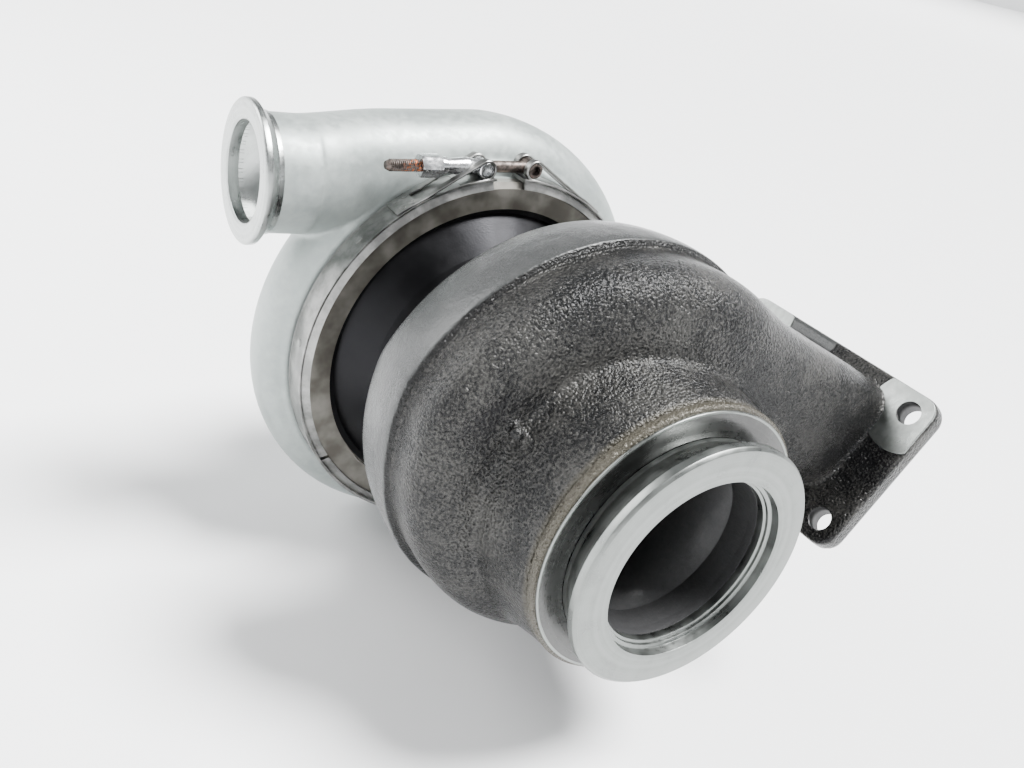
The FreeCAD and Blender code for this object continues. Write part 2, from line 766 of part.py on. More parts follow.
def bearings():
    bore = size.journal_radius + size.bush_inner_clearance
    for label, start in (("turbine_journal_bush", size.turbine_bush_start),
                         ("compressor_journal_bush", size.compressor_bush_start)):
        end = start + size.bush_length
        body = lathe(label, [(bore, start), (size.bush_outer_radius, start),
                             (size.bush_outer_radius, end), (bore, end)])
        sketch = new_sketch(body, "YZ_Plane", label + "_oil_hole")
        draw_circle(sketch, start + size.bush_length / 2, 0, 1.2)
        drilled = body.newObject("PartDesign::Pocket", label + "_oil_holes")
        drilled.Profile = sketch
        drilled.Type = "ThroughAll"
        drilled.Midplane = True
        body.Tip = drilled
        keep(body, label)
    outer = float(size.bush_outer_radius + size.bush_outer_clearance + size.snap_ring_depth) - 0.1
    rings = [split_ring(size.snap_ring_inner_radius, outer, start, size.snap_ring_width)
             for start in snap_ring_stations()]
    feature("bush_snap_rings", Part.makeCompound(rings))
    pad = size.journal_end + size.collar_flange_width + size.thrust_clearance
    end = pad + size.thrust_pad_thickness
    keep(lathe("thrust_bearing", [
        (size.collar_hub_radius + size.thrust_clearance, pad), (size.thrust_pad_radius, pad),
        (size.thrust_pad_radius, end), (size.collar_hub_radius + size.thrust_clearance, end)]),
        "thrust_bearing")
    deflector_end = end + size.deflector_thickness
    keep(lathe("oil_deflector", [
        (size.collar_radius + 2, end), (size.thrust_pad_radius, end),
        (size.thrust_pad_radius, deflector_end), (size.collar_radius + 2, deflector_end)]),
        "oil_deflector")


def snap_ring_stations():
    """Front station of each snap ring, one at either side of both bushes."""
    gap = float(size.bush_side_clearance)
    width = float(size.snap_ring_width)
    stations = []
    for start in (float(size.turbine_bush_start), float(size.compressor_bush_start)):
        stations += [start - gap - width, start + float(size.bush_length) + gap]
    return stations


def bearing_housing():
    joint = float(size.backplate_joint)
    plug = float(size.plug_front)
    waist = float(size.housing_waist_radius)
    flange = float(size.turbine_flange_radius)
    flange_front = float(size.turbine_flange_front)
    rear = float(size.turbine_rear_face)
    end = float(size.housing_end_radius)
    end_front = joint - float(size.housing_end_thickness)
    core = turned([
        (0, plug - 2), (20.0, plug - 2), (20.0, plug), (size.plug_radius, plug),
        (size.plug_radius, flange_front), (flange, flange_front), (flange, rear),
        (flange - 12, rear), (waist, rear + 7), (waist, end_front - 12), (waist + 10, end_front),
        (end, end_front), (end, joint), (0, joint)])
    middle = float(size.oil_port_station)
    inlet = Part.makeCylinder(float(size.oil_inlet_boss_radius), float(size.oil_inlet_height),
                              Vector(0, middle, 0), Vector(0, 0, 1))
    depth = float(size.oil_drain_depth)
    drain = Part.makeCylinder(float(size.oil_drain_radius + size.oil_drain_wall), depth,
                              Vector(0, middle, 0), Vector(0, 0, -1))
    length = float(size.drain_flange_length)
    width = float(size.drain_flange_width)
    thick = float(size.drain_flange_thickness)
    foot = Part.makeBox(length, width, thick, Vector(-length / 2, middle - width / 2, -depth))
    upright = [edge for edge in foot.Edges
               if abs(edge.Vertexes[0].Z - edge.Vertexes[1].Z) > thick / 2]
    foot = foot.makeFillet(float(size.drain_flange_corner), upright)
    block = core.fuse([inlet, drain, foot])
    outer = float(size.bush_outer_radius + size.bush_outer_clearance)
    cuts = [rod(outer, plug + 8.5, float(size.journal_end) - 4.0)]
    seal = float(size.seal_boss_radius) + 0.25
    cuts.append(rod(seal, plug - 3, plug + 9))
    pad = float(size.journal_end) + float(size.collar_flange_width) + float(size.thrust_clearance)
    cuts.append(rod(float(size.collar_radius) + 1.5, float(size.journal_end) - 5.0, joint + 1))
    cuts.append(rod(float(size.thrust_pad_radius) + 0.1, pad, joint + 1))
    groove = outer + float(size.snap_ring_depth)
    for start in snap_ring_stations():
        cuts.append(rod(groove, start - 0.1, start + float(size.snap_ring_width) + 0.1))
    top = float(size.oil_inlet_height)
    cuts.append(Part.makeCylinder(float(size.oil_inlet_radius), float(size.oil_inlet_depth) + 1,
                                  Vector(0, middle, top + 1), Vector(0, 0, -1)))
    cuts.append(Part.makeCylinder(float(size.oil_gallery_radius), top, Vector(0, middle, top),
                                  Vector(0, 0, -1)))
    cuts.append(Part.makeCylinder(float(size.oil_drain_radius), depth + 1 - float(size.oil_drain_roof),
                                  Vector(0, middle, -depth - 1), Vector(0, 0, 1)))
    half_spacing = float(size.drain_bolt_spacing) / 2
    for side in (-1, 1):
        cuts.append(Part.makeCylinder(float(size.drain_bolt_radius), thick + 2,
                                      Vector(side * half_spacing, middle, -depth - 1), Vector(0, 0, 1)))
    # the oil cavity between the bushes, open down to the drain
    cavity_start = float(size.turbine_bush_start + size.bush_length) + 2.5
    cavity_end = float(size.compressor_bush_start) - 2.5
    cuts.append(turned([(outer - 1, cavity_start), (outer + 9, cavity_start + 2.5),
                        (outer + 9, cavity_end - 2.5), (outer - 1, cavity_end)]))
    seal = end - 4 * float(size.housing_seal_radius)
    cuts.append(turned([(seal - 1.1, joint - 1.9), (seal + 1.1, joint - 1.9), (seal + 1.1, joint + 1),
                        (seal - 1.1, joint + 1)]))
    cuts += hole_ring(size.backplate_bolt_radius + size.bolt_hole_clearance, size.backplate_bolt_circle,
                      end_front - 1, joint + 1, size.backplate_bolt_count)
    return feature("bearing_housing", block.cut(cuts))


# ---------------------------------------------------------------- compressor side

def backplate():
    bore = size.flinger_hub_radius + 0.35
    joint = size.backplate_joint
    seat = size.housing_end_radius
    rim = size.band_flange_radius
    seal = size.diffuser_face - size.housing_seal_radius * 2
    body = lathe("backplate", [
        (bore, joint + 2), (size.collar_radius + 1.5, joint + 2), (size.collar_radius + 1.5, joint),
        (seat, joint),
        (seat + 6, joint + 4), (size.backplate_recess_radius - 4, size.backplate_web_front),
        (size.backplate_recess_radius, size.backplate_web_front),
        (size.backplate_recess_radius, size.backplate_rim_front),
        (size.band_lip_radius, size.backplate_rim_front),
        (rim, size.backplate_rim_front + size.band_bevel), (rim, size.band_joint),
        (size.backplate_pilot_radius, size.band_joint), (size.backplate_pilot_radius, seal - 1.3),
        (size.backplate_pilot_radius - 2.3, seal - 1.3), (size.backplate_pilot_radius - 2.3, seal + 1.3),
        (size.backplate_pilot_radius, seal + 1.3), (size.backplate_pilot_radius, size.diffuser_face),
        (size.compressor_exducer_radius + 0.6, size.diffuser_face),
        (size.compressor_exducer_radius + 0.6, size.diffuser_face - 2.6),
        (18, size.compressor_back_face - 0.8), (bore, size.compressor_back_face - 0.8)])
    drill_ring(body, "bolt_holes", size.backplate_bolt_radius, size.backplate_bolt_circle,
               size.backplate_bolt_count, joint, size.backplate_hole_depth)
    keep(body, "backplate")


TONGUE_ANGLE = 110.0    # where the compressor scroll starts
TONGUE_SPAN = 340.0


def compressor_section(turn, inset):
    """The scroll's outline at an angle past its tongue, drawn smaller by the inset."""
    share = turn / TONGUE_SPAN
    start = float(size.compressor_scroll_start)
    radial = start + (float(size.compressor_scroll_end) - start) * share
    least = float(size.compressor_scroll_depth)
    depth = (least + (float(size.compressor_scroll_end_depth) - least) * share) / 2
    outer = float(size.compressor_scroll_radius) + float(size.compressor_scroll_growth) * share ** 1.5
    angle = TONGUE_ANGLE + turn
    centre = polar(outer - radial, angle, float(size.compressor_scroll_front) + depth)
    return oval(centre, AXIS, polar(1.0, angle, 0.0), depth - inset, radial - inset, 2.3)


def outlet_sections(inset):
    """From the scroll's last section, along the outlet tube towards -X."""
    tube = float(size.compressor_tube_radius)
    depth = float(size.compressor_scroll_end_depth) / 2
    radial = float(size.compressor_scroll_end)
    outer = float(size.compressor_scroll_radius) + float(size.compressor_scroll_growth)
    first = Vector(0, float(size.compressor_scroll_front) + depth, outer - radial)
    last = Vector(-0.85 * float(size.compressor_outlet_reach), float(size.compressor_outlet_plane),
                  float(size.compressor_outlet_height))
    wires = []
    for along, aside, lower in ((0.0, 0.0, 0.0), (0.3, 0.0, 0.3), (0.55, 0.0, 0.55), (0.73, 0.2, 0.73),
                                (0.87, 0.7, 0.87), (1.0, 1.0, 1.0)):
        centre = Vector(first.x + (last.x - first.x) * along, first.y + (last.y - first.y) * aside,
                        first.z + (last.z - first.z) * lower)
        wires.append(oval(centre, AXIS, Vector(0, 0, 1), depth + (tube - depth) * aside - inset,
                          radial + (tube - radial) * lower - inset, 2.3 - 0.3 * lower))
    return wires


def compressor_housing():
    flange = size.band_flange_radius
    shoulder = float(size.compressor_shoulder_radius)
    joint = float(size.band_joint)
    rear = float(size.compressor_band_back)
    groove_end = float(size.compressor_band_groove_end)
    neck = float(size.inlet_neck)
    end = float(size.inlet_tube_end)
    tube = float(size.inlet_tube_radius)
    bead = tube + float(size.inlet_bead)
    core = turned([
        (0, joint), (flange, joint), (flange, rear - float(size.band_bevel)),
        (size.band_lip_radius, rear), (size.compressor_band_groove_radius, rear),
        (size.compressor_band_groove_radius, groove_end), (shoulder - 2.0, groove_end),
        (shoulder, groove_end + 2.0), (shoulder, groove_end + 14.0), (100.0, groove_end + 34.0),
        (80.0, neck - 8.0), (size.inlet_neck_radius, neck), (tube, neck + 4.0), (tube, end - 9.0),
        (bead, end - 7.5), (bead, end - 3.5), (tube, end - 2.0), (tube, end), (0, end)])
    turns = range(0, int(TONGUE_SPAN) + 1, 20)
    outlet = Part.makeCylinder(float(size.compressor_tube_radius + size.outlet_land),
                               0.2 * float(size.compressor_outlet_reach),
                               Vector(-float(size.compressor_outlet_reach),
                                      float(size.compressor_outlet_plane),
                                      float(size.compressor_outlet_height)), Vector(1, 0, 0))
    rim = outlet_rim()
    scroll = Part.makeLoft([compressor_section(turn, 0.0) for turn in turns], True)
    casting = core.fuse([scroll, Part.makeLoft(outlet_sections(0.0), True), outlet, rim])
    wall = float(size.compressor_wall)
    channel = Part.makeLoft([compressor_section(turn, wall) for turn in turns], True)
    tube_bore = Part.makeLoft(outlet_sections(wall), True)
    face = float(size.diffuser_face)
    shroud = face + float(size.diffuser_width)
    inducer = float(size.compressor_inducer_radius) + float(size.tip_clearance)
    exducer = float(size.compressor_exducer_radius) + float(size.tip_clearance)
    plane = float(size.compressor_inducer_plane)
    mouth = turned([
        (0, joint - 1), (float(size.backplate_pilot_radius) + 0.2, joint - 1),
        (float(size.backplate_pilot_radius) + 0.2, face), (size.diffuser_exit_radius + 12, face),
        (size.diffuser_exit_radius + 12, shroud), (exducer, shroud), (exducer - 6, shroud + 2.6),
        (inducer + 3.4, shroud + 6.4), (inducer + 1.2, shroud + 12), (inducer, shroud + 22),
        (inducer, plane + 4),
        (size.inlet_bore_radius, plane + 34), (size.inlet_bore_radius, end + 1), (0, end + 1)])
    reach = float(size.compressor_outlet_reach)
    bore = Part.makeCylinder(float(size.compressor_outlet_bore), 0.3 * reach,
                             Vector(-reach - 1, float(size.compressor_outlet_plane),
                                    float(size.compressor_outlet_height)), Vector(1, 0, 0))
    casting = casting.cut([mouth, channel, tube_bore, bore])
    return feature("compressor_housing", casting)


def outlet_rim():
    """The machined V-band rim on the end of the compressor outlet."""
    reach = float(size.compressor_outlet_reach)
    radius = float(size.compressor_outlet_radius)
    tube = float(size.compressor_tube_radius)
    rim = float(size.compressor_outlet_rim)
    corners = [Vector(0, 0, 0), Vector(0, radius - 1.0, 0), Vector(1.0, radius, 0), Vector(rim, radius, 0),
               Vector(rim + 5.5, tube, 0), Vector(rim + 5.5, 0, 0)]
    face = Part.Face(Part.makePolygon(corners + corners[:1]))
    solid = face.revolve(Vector(0, 0, 0), Vector(1, 0, 0), 360)
    solid.translate(Vector(-reach, float(size.compressor_outlet_plane), float(size.compressor_outlet_height)))
    return solid


# ---------------------------------------------------------------- band clamp

def arc_sector(radius, start, end, first, last):
    """A wedge about the rotor axis between two angles, to cut rings with."""
    steps = 24
    rim = [polar(radius, first + (last - first) * index / steps, start) for index in range(steps + 1)]
    corners = [Vector(0, start, 0)] + rim
    face = Part.Face(Part.makePolygon(corners + corners[:1]))
    return face.extrude(Vector(0, end - start, 0))


def clamp_frame():
    """Centre of the strap's gap on the band, and the directions along and away from it."""
    angle = float(size.strap_gap_angle)
    radius = float(size.strap_radius) + float(size.strap_thickness)
    middle = float(size.strap_front) + float(size.strap_width) / 2
    centre = polar(radius, angle, middle)
    outward = polar(1.0, angle, 0.0)
    along = outward.cross(AXIS)
    return centre, outward, along


def bar_along(base, direction, radius, length):
    return Part.makeCylinder(float(radius), float(length), base, direction)


def band_clamp():
    inner = float(size.strap_radius)
    thick = float(size.strap_thickness)
    outer = inner + thick
    front = float(size.strap_front)
    width = float(size.strap_width)
    gap_angle = float(size.strap_gap_angle)
    reach = float(size.strap_gap) / 2
    half_gap = math.degrees(reach / outer)
    band = turned([(inner, front), (outer, front), (outer, front + width), (inner, front + width)])
    band = band.cut(arc_sector(outer + 20, front - 1, front + width + 1,
                               gap_angle - half_gap, gap_angle + half_gap))
    centre, outward, along = clamp_frame()
    loop = float(size.loop_radius)
    share = float(size.loop_share)
    seat_radius = outer + loop - thick / 2
    seat_angle = math.degrees((reach + loop) / outer)
    right = polar(seat_radius, gap_angle - seat_angle, centre.y)
    left = polar(seat_radius, gap_angle + seat_angle, centre.y)
    loops = []
    for base in (right, left):
        for offset in (-0.5, 0.5 - share):
            tube = bar_along(base + AXIS * (width * offset), AXIS, loop, share * width)
            loops.append(tube.cut(bar_along(base - AXIS * width, AXIS, loop - thick, 2 * width)))
    feature("clamp_strap", band.fuse(loops))
    bolt_radius = float(size.t_bolt_radius)
    pin = loop - thick - 0.25
    pin_length = 0.96 * width
    head = bar_along(right - AXIS * (pin_length / 2), AXIS, pin, pin_length)
    shank = bar_along(right, along, bolt_radius, size.t_bolt_length)
    feature("clamp_t_bolt", head.fuse(shank))
    neck = loop + 1.0
    sleeve_end = neck + float(size.trunnion_length)
    cross = bar_along(left - AXIS * (pin_length / 2), AXIS, pin, pin_length)
    sleeve = bar_along(left + along * neck, along, bolt_radius + float(size.trunnion_wall),
                       size.trunnion_length)
    body = cross.fuse([sleeve, bar_along(left, along, bolt_radius + 0.45, neck + 1.0)])
    body = body.cut(bar_along(left - along * (2 * loop), along, bolt_radius + 0.15, sleeve_end + 4 * loop))
    feature("clamp_trunnion", body)
    seat = left + along * sleeve_end
    nut_length = float(size.clamp_nut_length)
    corners = [seat + AXIS * (math.cos(math.radians(60.0 * index)) * float(size.clamp_nut_radius))
               + outward * (math.sin(math.radians(60.0 * index)) * float(size.clamp_nut_radius))
               for index in range(6)]
    nut = Part.Face(Part.makePolygon(corners + corners[:1])).extrude(along * nut_length)
    feature("clamp_nut", nut.cut(bar_along(seat - along, along, bolt_radius, nut_length + 2)))
    retainers(gap_angle, half_gap)


def retainers(gap_angle, half_gap):
    """V-shaped segments inside the strap, which draw the two flanges together."""
    inner = float(size.strap_radius)
    thick = float(size.retainer_thickness)
    clear = float(size.retainer_clearance)
    lip = float(size.retainer_leg_radius)
    front = float(size.backplate_rim_front) - clear
    back = float(size.compressor_band_back) + clear
    flange = float(size.band_flange_radius) + clear
    bevel = float(size.band_bevel)
    ring = turned([
        (inner, front + bevel - thick), (inner, back - bevel + thick), (lip, back + thick),
        (lip, back), (flange, back - bevel), (flange, front + bevel), (lip, front),
        (lip, front - thick)])
    count = int(float(size.retainer_count))
    span = (360.0 - 2 * half_gap) / count
    cuts = []
    for index in range(count + 1):
        at = gap_angle + half_gap + span * index
        extra = half_gap if index in (0, count) else 0.0
        low = at - 0.6 - (extra if index == 0 else 0.0)
        high = at + 0.6 + (extra if index == count else 0.0)
        cuts.append(arc_sector(inner + 30, front - 8, back + 8, low, high))
    feature("clamp_retainers", ring.cut(cuts))


# ---------------------------------------------------------------- seals and screws

def seals_and_screws():
    groove = float(size.seal_boss_end) - 6.0 + 0.2
    seal_bore = float(size.seal_boss_radius) + 0.25
    feature("turbine_seal_ring", split_ring(seal_bore - 1.5, seal_bore, groove, size.ring_width))
    bore = float(size.flinger_hub_radius) + 0.35
    groove = float(size.backplate_joint) + 10.2
    feature("compressor_seal_ring", split_ring(bore - 1.6, bore, groove, size.ring_width))
    seat = size.backplate_joint - size.housing_end_thickness
    one = bolt(size.backplate_bolt_radius, size.backplate_bolt_circle, seat, -1, size.backplate_bolt_grip)
    feature("backplate_bolts", Part.makeCompound(spread(one, size.backplate_bolt_count)))
    o_ring("housing_seal", size.backplate_pilot_radius - size.housing_seal_radius,
           size.housing_seal_radius, size.diffuser_face - size.housing_seal_radius * 2)
    o_ring("backplate_seal", size.housing_end_radius - size.housing_seal_radius * 4,
           size.backplate_seal_radius, size.backplate_joint - size.backplate_seal_radius)


def o_ring(label, radius, section, station):
    """A round rubber ring about the rotor axis."""
    ring = doc.addObject("Part::Torus", label)
    ring.setExpression("Radius1", radius.text)
    ring.setExpression("Radius2", section.text)
    ring.Placement = Placement(Vector(0, 0, 0), Rotation(Vector(1, 0, 0), -90))
    ring.setExpression("Placement.Base.y", station.text)
    keep(ring, label)


turbine_housing()
turbine_clamps()
heat_shield()
turbine_shaft_wheel()
compressor_wheel()
rotor_trim()
bearings()
bearing_housing()
backplate()
compressor_housing()
band_clamp()
seals_and_screws()

doc.recompute()
for item in doc.Objects:
    if "Invalid" in item.State or "Error" in item.State:
        raise RuntimeError("%s failed: %s" % (item.Label, item.State))
os.makedirs("parts", exist_ok=True)
for part in PARTS:
    shape = part.Shape
    if shape.isNull() or not shape.isValid():
        raise RuntimeError("%s has no valid shape" % part.Label)
    if len(shape.Solids) != PIECES.get(part.Label, 1):
        raise RuntimeError("%s has %d solids" % (part.Label, len(shape.Solids)))
    shape.exportStep("parts/%s.step" % part.Label)
    box = shape.BoundBox
    print("%-24s %2d solids %12.1f mm3  x %.1f..%.1f y %.1f..%.1f z %.1f..%.1f" % (
        part.Label, len(shape.Solids), shape.Volume,
        box.XMin, box.XMax, box.YMin, box.YMax, box.ZMin, box.ZMax))
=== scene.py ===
import json
import math

import bmesh
import bpy
from mathutils import Matrix, Vector


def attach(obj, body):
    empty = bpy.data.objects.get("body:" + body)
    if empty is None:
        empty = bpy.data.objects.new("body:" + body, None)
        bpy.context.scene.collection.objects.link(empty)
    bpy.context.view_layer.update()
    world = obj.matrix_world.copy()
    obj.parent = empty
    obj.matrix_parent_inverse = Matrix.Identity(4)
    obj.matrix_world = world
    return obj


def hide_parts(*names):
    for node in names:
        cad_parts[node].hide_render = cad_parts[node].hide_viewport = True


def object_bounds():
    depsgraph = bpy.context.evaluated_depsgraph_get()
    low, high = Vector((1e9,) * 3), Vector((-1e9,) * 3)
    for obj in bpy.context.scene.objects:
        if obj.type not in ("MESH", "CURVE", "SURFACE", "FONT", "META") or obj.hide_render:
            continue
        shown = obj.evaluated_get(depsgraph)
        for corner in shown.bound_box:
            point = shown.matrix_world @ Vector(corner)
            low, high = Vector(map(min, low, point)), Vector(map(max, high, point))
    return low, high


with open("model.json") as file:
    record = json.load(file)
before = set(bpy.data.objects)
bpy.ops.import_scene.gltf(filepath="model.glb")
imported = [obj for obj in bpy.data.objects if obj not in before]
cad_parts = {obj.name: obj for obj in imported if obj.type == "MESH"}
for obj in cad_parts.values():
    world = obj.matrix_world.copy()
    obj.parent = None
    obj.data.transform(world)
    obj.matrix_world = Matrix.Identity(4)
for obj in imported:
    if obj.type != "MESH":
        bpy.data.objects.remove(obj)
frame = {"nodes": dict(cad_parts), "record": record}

CAD_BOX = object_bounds()
NODES = frame["nodes"]
MM = 0.001
AXIS = Vector((0, 1, 0))

# Lengths below are in millimetres. The rotor turns about Y, and angles about it are in degrees
# from +X towards +Z. Stations are places along Y.


# ---------------------------------------------------------------- mesh helpers

def skin(rings, count, closed):
    """Faces between neighbouring rings of points, and from the last to the first if closed."""
    faces = []
    for step in range(rings if closed else rings - 1):
        first, second = step * count, (step + 1) % rings * count
        for index in range(count):
            after = (index + 1) % count
            faces.append((first + index, first + after, second + after, second + index))
    return faces


def piece_from(name, points, faces, material=None):
    """A mesh object at the origin from points in millimetres."""
    mesh = bpy.data.meshes.new(name)
    mesh.from_pydata([tuple(Vector(point) * MM) for point in points], [], faces)
    mesh.validate()
    cleaned = bmesh.new()
    cleaned.from_mesh(mesh)
    bmesh.ops.remove_doubles(cleaned, verts=cleaned.verts, dist=1e-6)
    bmesh.ops.recalc_face_normals(cleaned, faces=cleaned.faces)
    cleaned.to_mesh(mesh)
    cleaned.free()
    piece = bpy.data.objects.new(name, mesh)
    bpy.context.scene.collection.objects.link(piece)
    mesh.polygons.foreach_set("use_smooth", [True] * len(mesh.polygons))
    if material:
        mesh.materials.append(material)
    return piece


def crease(piece, degrees=28):
    """Shades smooth, with a hard edge wherever the surface turns by more than this."""
    piece.data.set_sharp_from_angle(angle=math.radians(degrees))
    return piece


def bake(piece):
    """Replaces a piece's mesh with its evaluated one, and takes its modifiers off."""
    view = bpy.context.evaluated_depsgraph_get()
    mesh = bpy.data.meshes.new_from_object(piece.evaluated_get(view))
    piece.modifiers.clear()
    piece.data = mesh
    return piece


def cut(piece, *cutters):
    """Takes the cutters out of a piece, and removes them."""
    for cutter in cutters:
        boolean = piece.modifiers.new("cut", "BOOLEAN")
        boolean.operation = "DIFFERENCE"
        boolean.solver = "EXACT"
        boolean.object = cutter
        boolean.material_mode = "TRANSFER"
    bake(piece)
    for cutter in cutters:
        bpy.data.objects.remove(cutter)
    return piece


def merged(name, pieces):
    """One object that holds the meshes of several, all of the first one's material."""
    whole = bmesh.new()
    materials = list(pieces[0].data.materials)
    for piece in pieces:
        whole.from_mesh(piece.data)
        bpy.data.objects.remove(piece)
    mesh = bpy.data.meshes.new(name)
    whole.to_mesh(mesh)
    whole.free()
    for material in materials:
        mesh.materials.append(material)
    result = bpy.data.objects.new(name, mesh)
    bpy.context.scene.collection.objects.link(result)
    return result


def weld(piece, voxel, rounds, softness):
    """Grows overlapping solids into one skin with cast fillets where they meet.

    softness gives how much smoothing a point in millimetres takes, from 0 to 1."""
    remesh = piece.modifiers.new("weld", "REMESH")
    remesh.mode = "VOXEL"
    remesh.voxel_size = voxel * MM
    remesh.use_smooth_shade = True
    bake(piece)
    group = piece.vertex_groups.new(name="soft")
    for vertex in piece.data.vertices:
        group.add([vertex.index], softness(vertex.co / MM), "REPLACE")
    relax = piece.modifiers.new("settle", "SMOOTH")
    relax.iterations = 3
    relax.factor = 0.5
    relax = piece.modifiers.new("relax", "SMOOTH")
    relax.iterations = rounds
    relax.factor = 0.5
    relax.vertex_group = "soft"
    bake(piece)
    piece.vertex_groups.clear()
    piece.data.polygons.foreach_set("use_smooth", [True] * len(piece.data.polygons))
    return piece


def rounded(corners, radius, closed=True):
    """An outline whose corners are cut by small arcs of three points."""
    result = []
    count = len(corners)
    for index, corner in enumerate(corners):
        here = Vector(corner)
        if not closed and index in (0, count - 1):
            result.append(tuple(here))
            continue
        before = Vector(corners[index - 1]) - here
        after = Vector(corners[(index + 1) % count]) - here
        reach = min(radius, 0.4 * before.length, 0.4 * after.length)
        start = here + before.normalized() * reach
        end = here + after.normalized() * reach
        middle = (start + end) / 4 + here / 2
        result += [tuple(start), tuple(middle), tuple(end)]
    return result


def lathe(name, outline, radius=0.5, steps=192, centre=(0, 0, 0), axis=AXIS, material=None):
    """A ring turned about an axis from a closed outline of (radius, station) corners."""
    corners = rounded(outline, radius) if radius else list(outline)
    axis = Vector(axis).normalized()
    side = axis.orthogonal().normalized()
    other = axis.cross(side)
    centre = Vector(centre)
    points = []
    for step in range(steps):
        turn = 2 * math.pi * step / steps
        out = side * math.cos(turn) + other * math.sin(turn)
        points += [centre + out * reach + axis * station for reach, station in corners]
    return crease(piece_from(name, points, skin(steps, len(corners), True), material))


def plug(name, outline, centre=(0, 0, 0), axis=AXIS, steps=128, material=None):
    """A turned solid whose outline starts and ends on the axis, mostly to cut with."""
    return lathe(name, outline, 0, steps, centre, axis, material)


def loft(name, rings, capped=True, material=None):
    """A skin through closed rings of equally many points."""
    count = len(rings[0])
    points = [point for ring in rings for point in ring]
    faces = skin(len(rings), count, False)
    if capped:
        faces.append(tuple(range(count)))
        faces.append(tuple(range(len(points) - count, len(points)))[::-1])
    return piece_from(name, points, faces, material)


def polar(radius, angle, station=0.0):
    """A point at a radius, angle and station about the turning axis."""
    turn = math.radians(angle)
    return Vector((radius * math.cos(turn), station, radius * math.sin(turn)))


def ease(value):
    """A smooth step from 0 to 1."""
    value = max(0.0, min(1.0, value))
    return value * value * (3 - 2 * value)


def spline(knots, per_span=10):
    """A smooth open curve through knots of two numbers (Catmull-Rom)."""
    knots = [Vector(knot) for knot in knots]
    ends = [knots[0] * 2 - knots[1]] + knots + [knots[-1] * 2 - knots[-2]]
    curve = []
    for index in range(1, len(ends) - 2):
        a, b, c, d = ends[index - 1:index + 3]
        for step in range(per_span):
            t = step / per_span
            curve.append(0.5 * (2 * b + (c - a) * t + (2 * a - 5 * b + 4 * c - d) * t * t
                                + (3 * b - 3 * c + d - a) * t ** 3))
    return curve + [knots[-1]]


def resample(curve, count):
    """Points evenly spaced along an open curve."""
    lengths = [0.0]
    for start, end in zip(curve, curve[1:]):
        lengths.append(lengths[-1] + (end - start).length)
    result, span = [], 0
    for index in range(count):
        want = lengths[-1] * index / (count - 1)
        while span < len(curve) - 2 and lengths[span + 1] < want:
            span += 1
        length = max(lengths[span + 1] - lengths[span], 1e-9)
        result.append(curve[span].lerp(curve[span + 1], (want - lengths[span]) / length))
    return result


def superellipse(centre, side, up, half_side, half_up, squareness, count=64):
    """A closed ring between an ellipse (2) and a rectangle (large squareness)."""
    ring = []
    for index in range(count):
        turn = 2 * math.pi * index / count
        cosine, sine = math.cos(turn), math.sin(turn)
        reach = (abs(cosine) ** squareness + abs(sine) ** squareness) ** (-1 / squareness)
        ring.append(centre + side * (half_side * reach * cosine) + up * (half_up * reach * sine))
    return ring


def finished(piece, body, slot, *nodes):
    """Puts a piece on its body and hides the CAD nodes that it stands for. The slot is not used."""
    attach(piece, body)
    if nodes:
        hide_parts(*nodes)
    return piece


# ---------------------------------------------------------------- material helpers

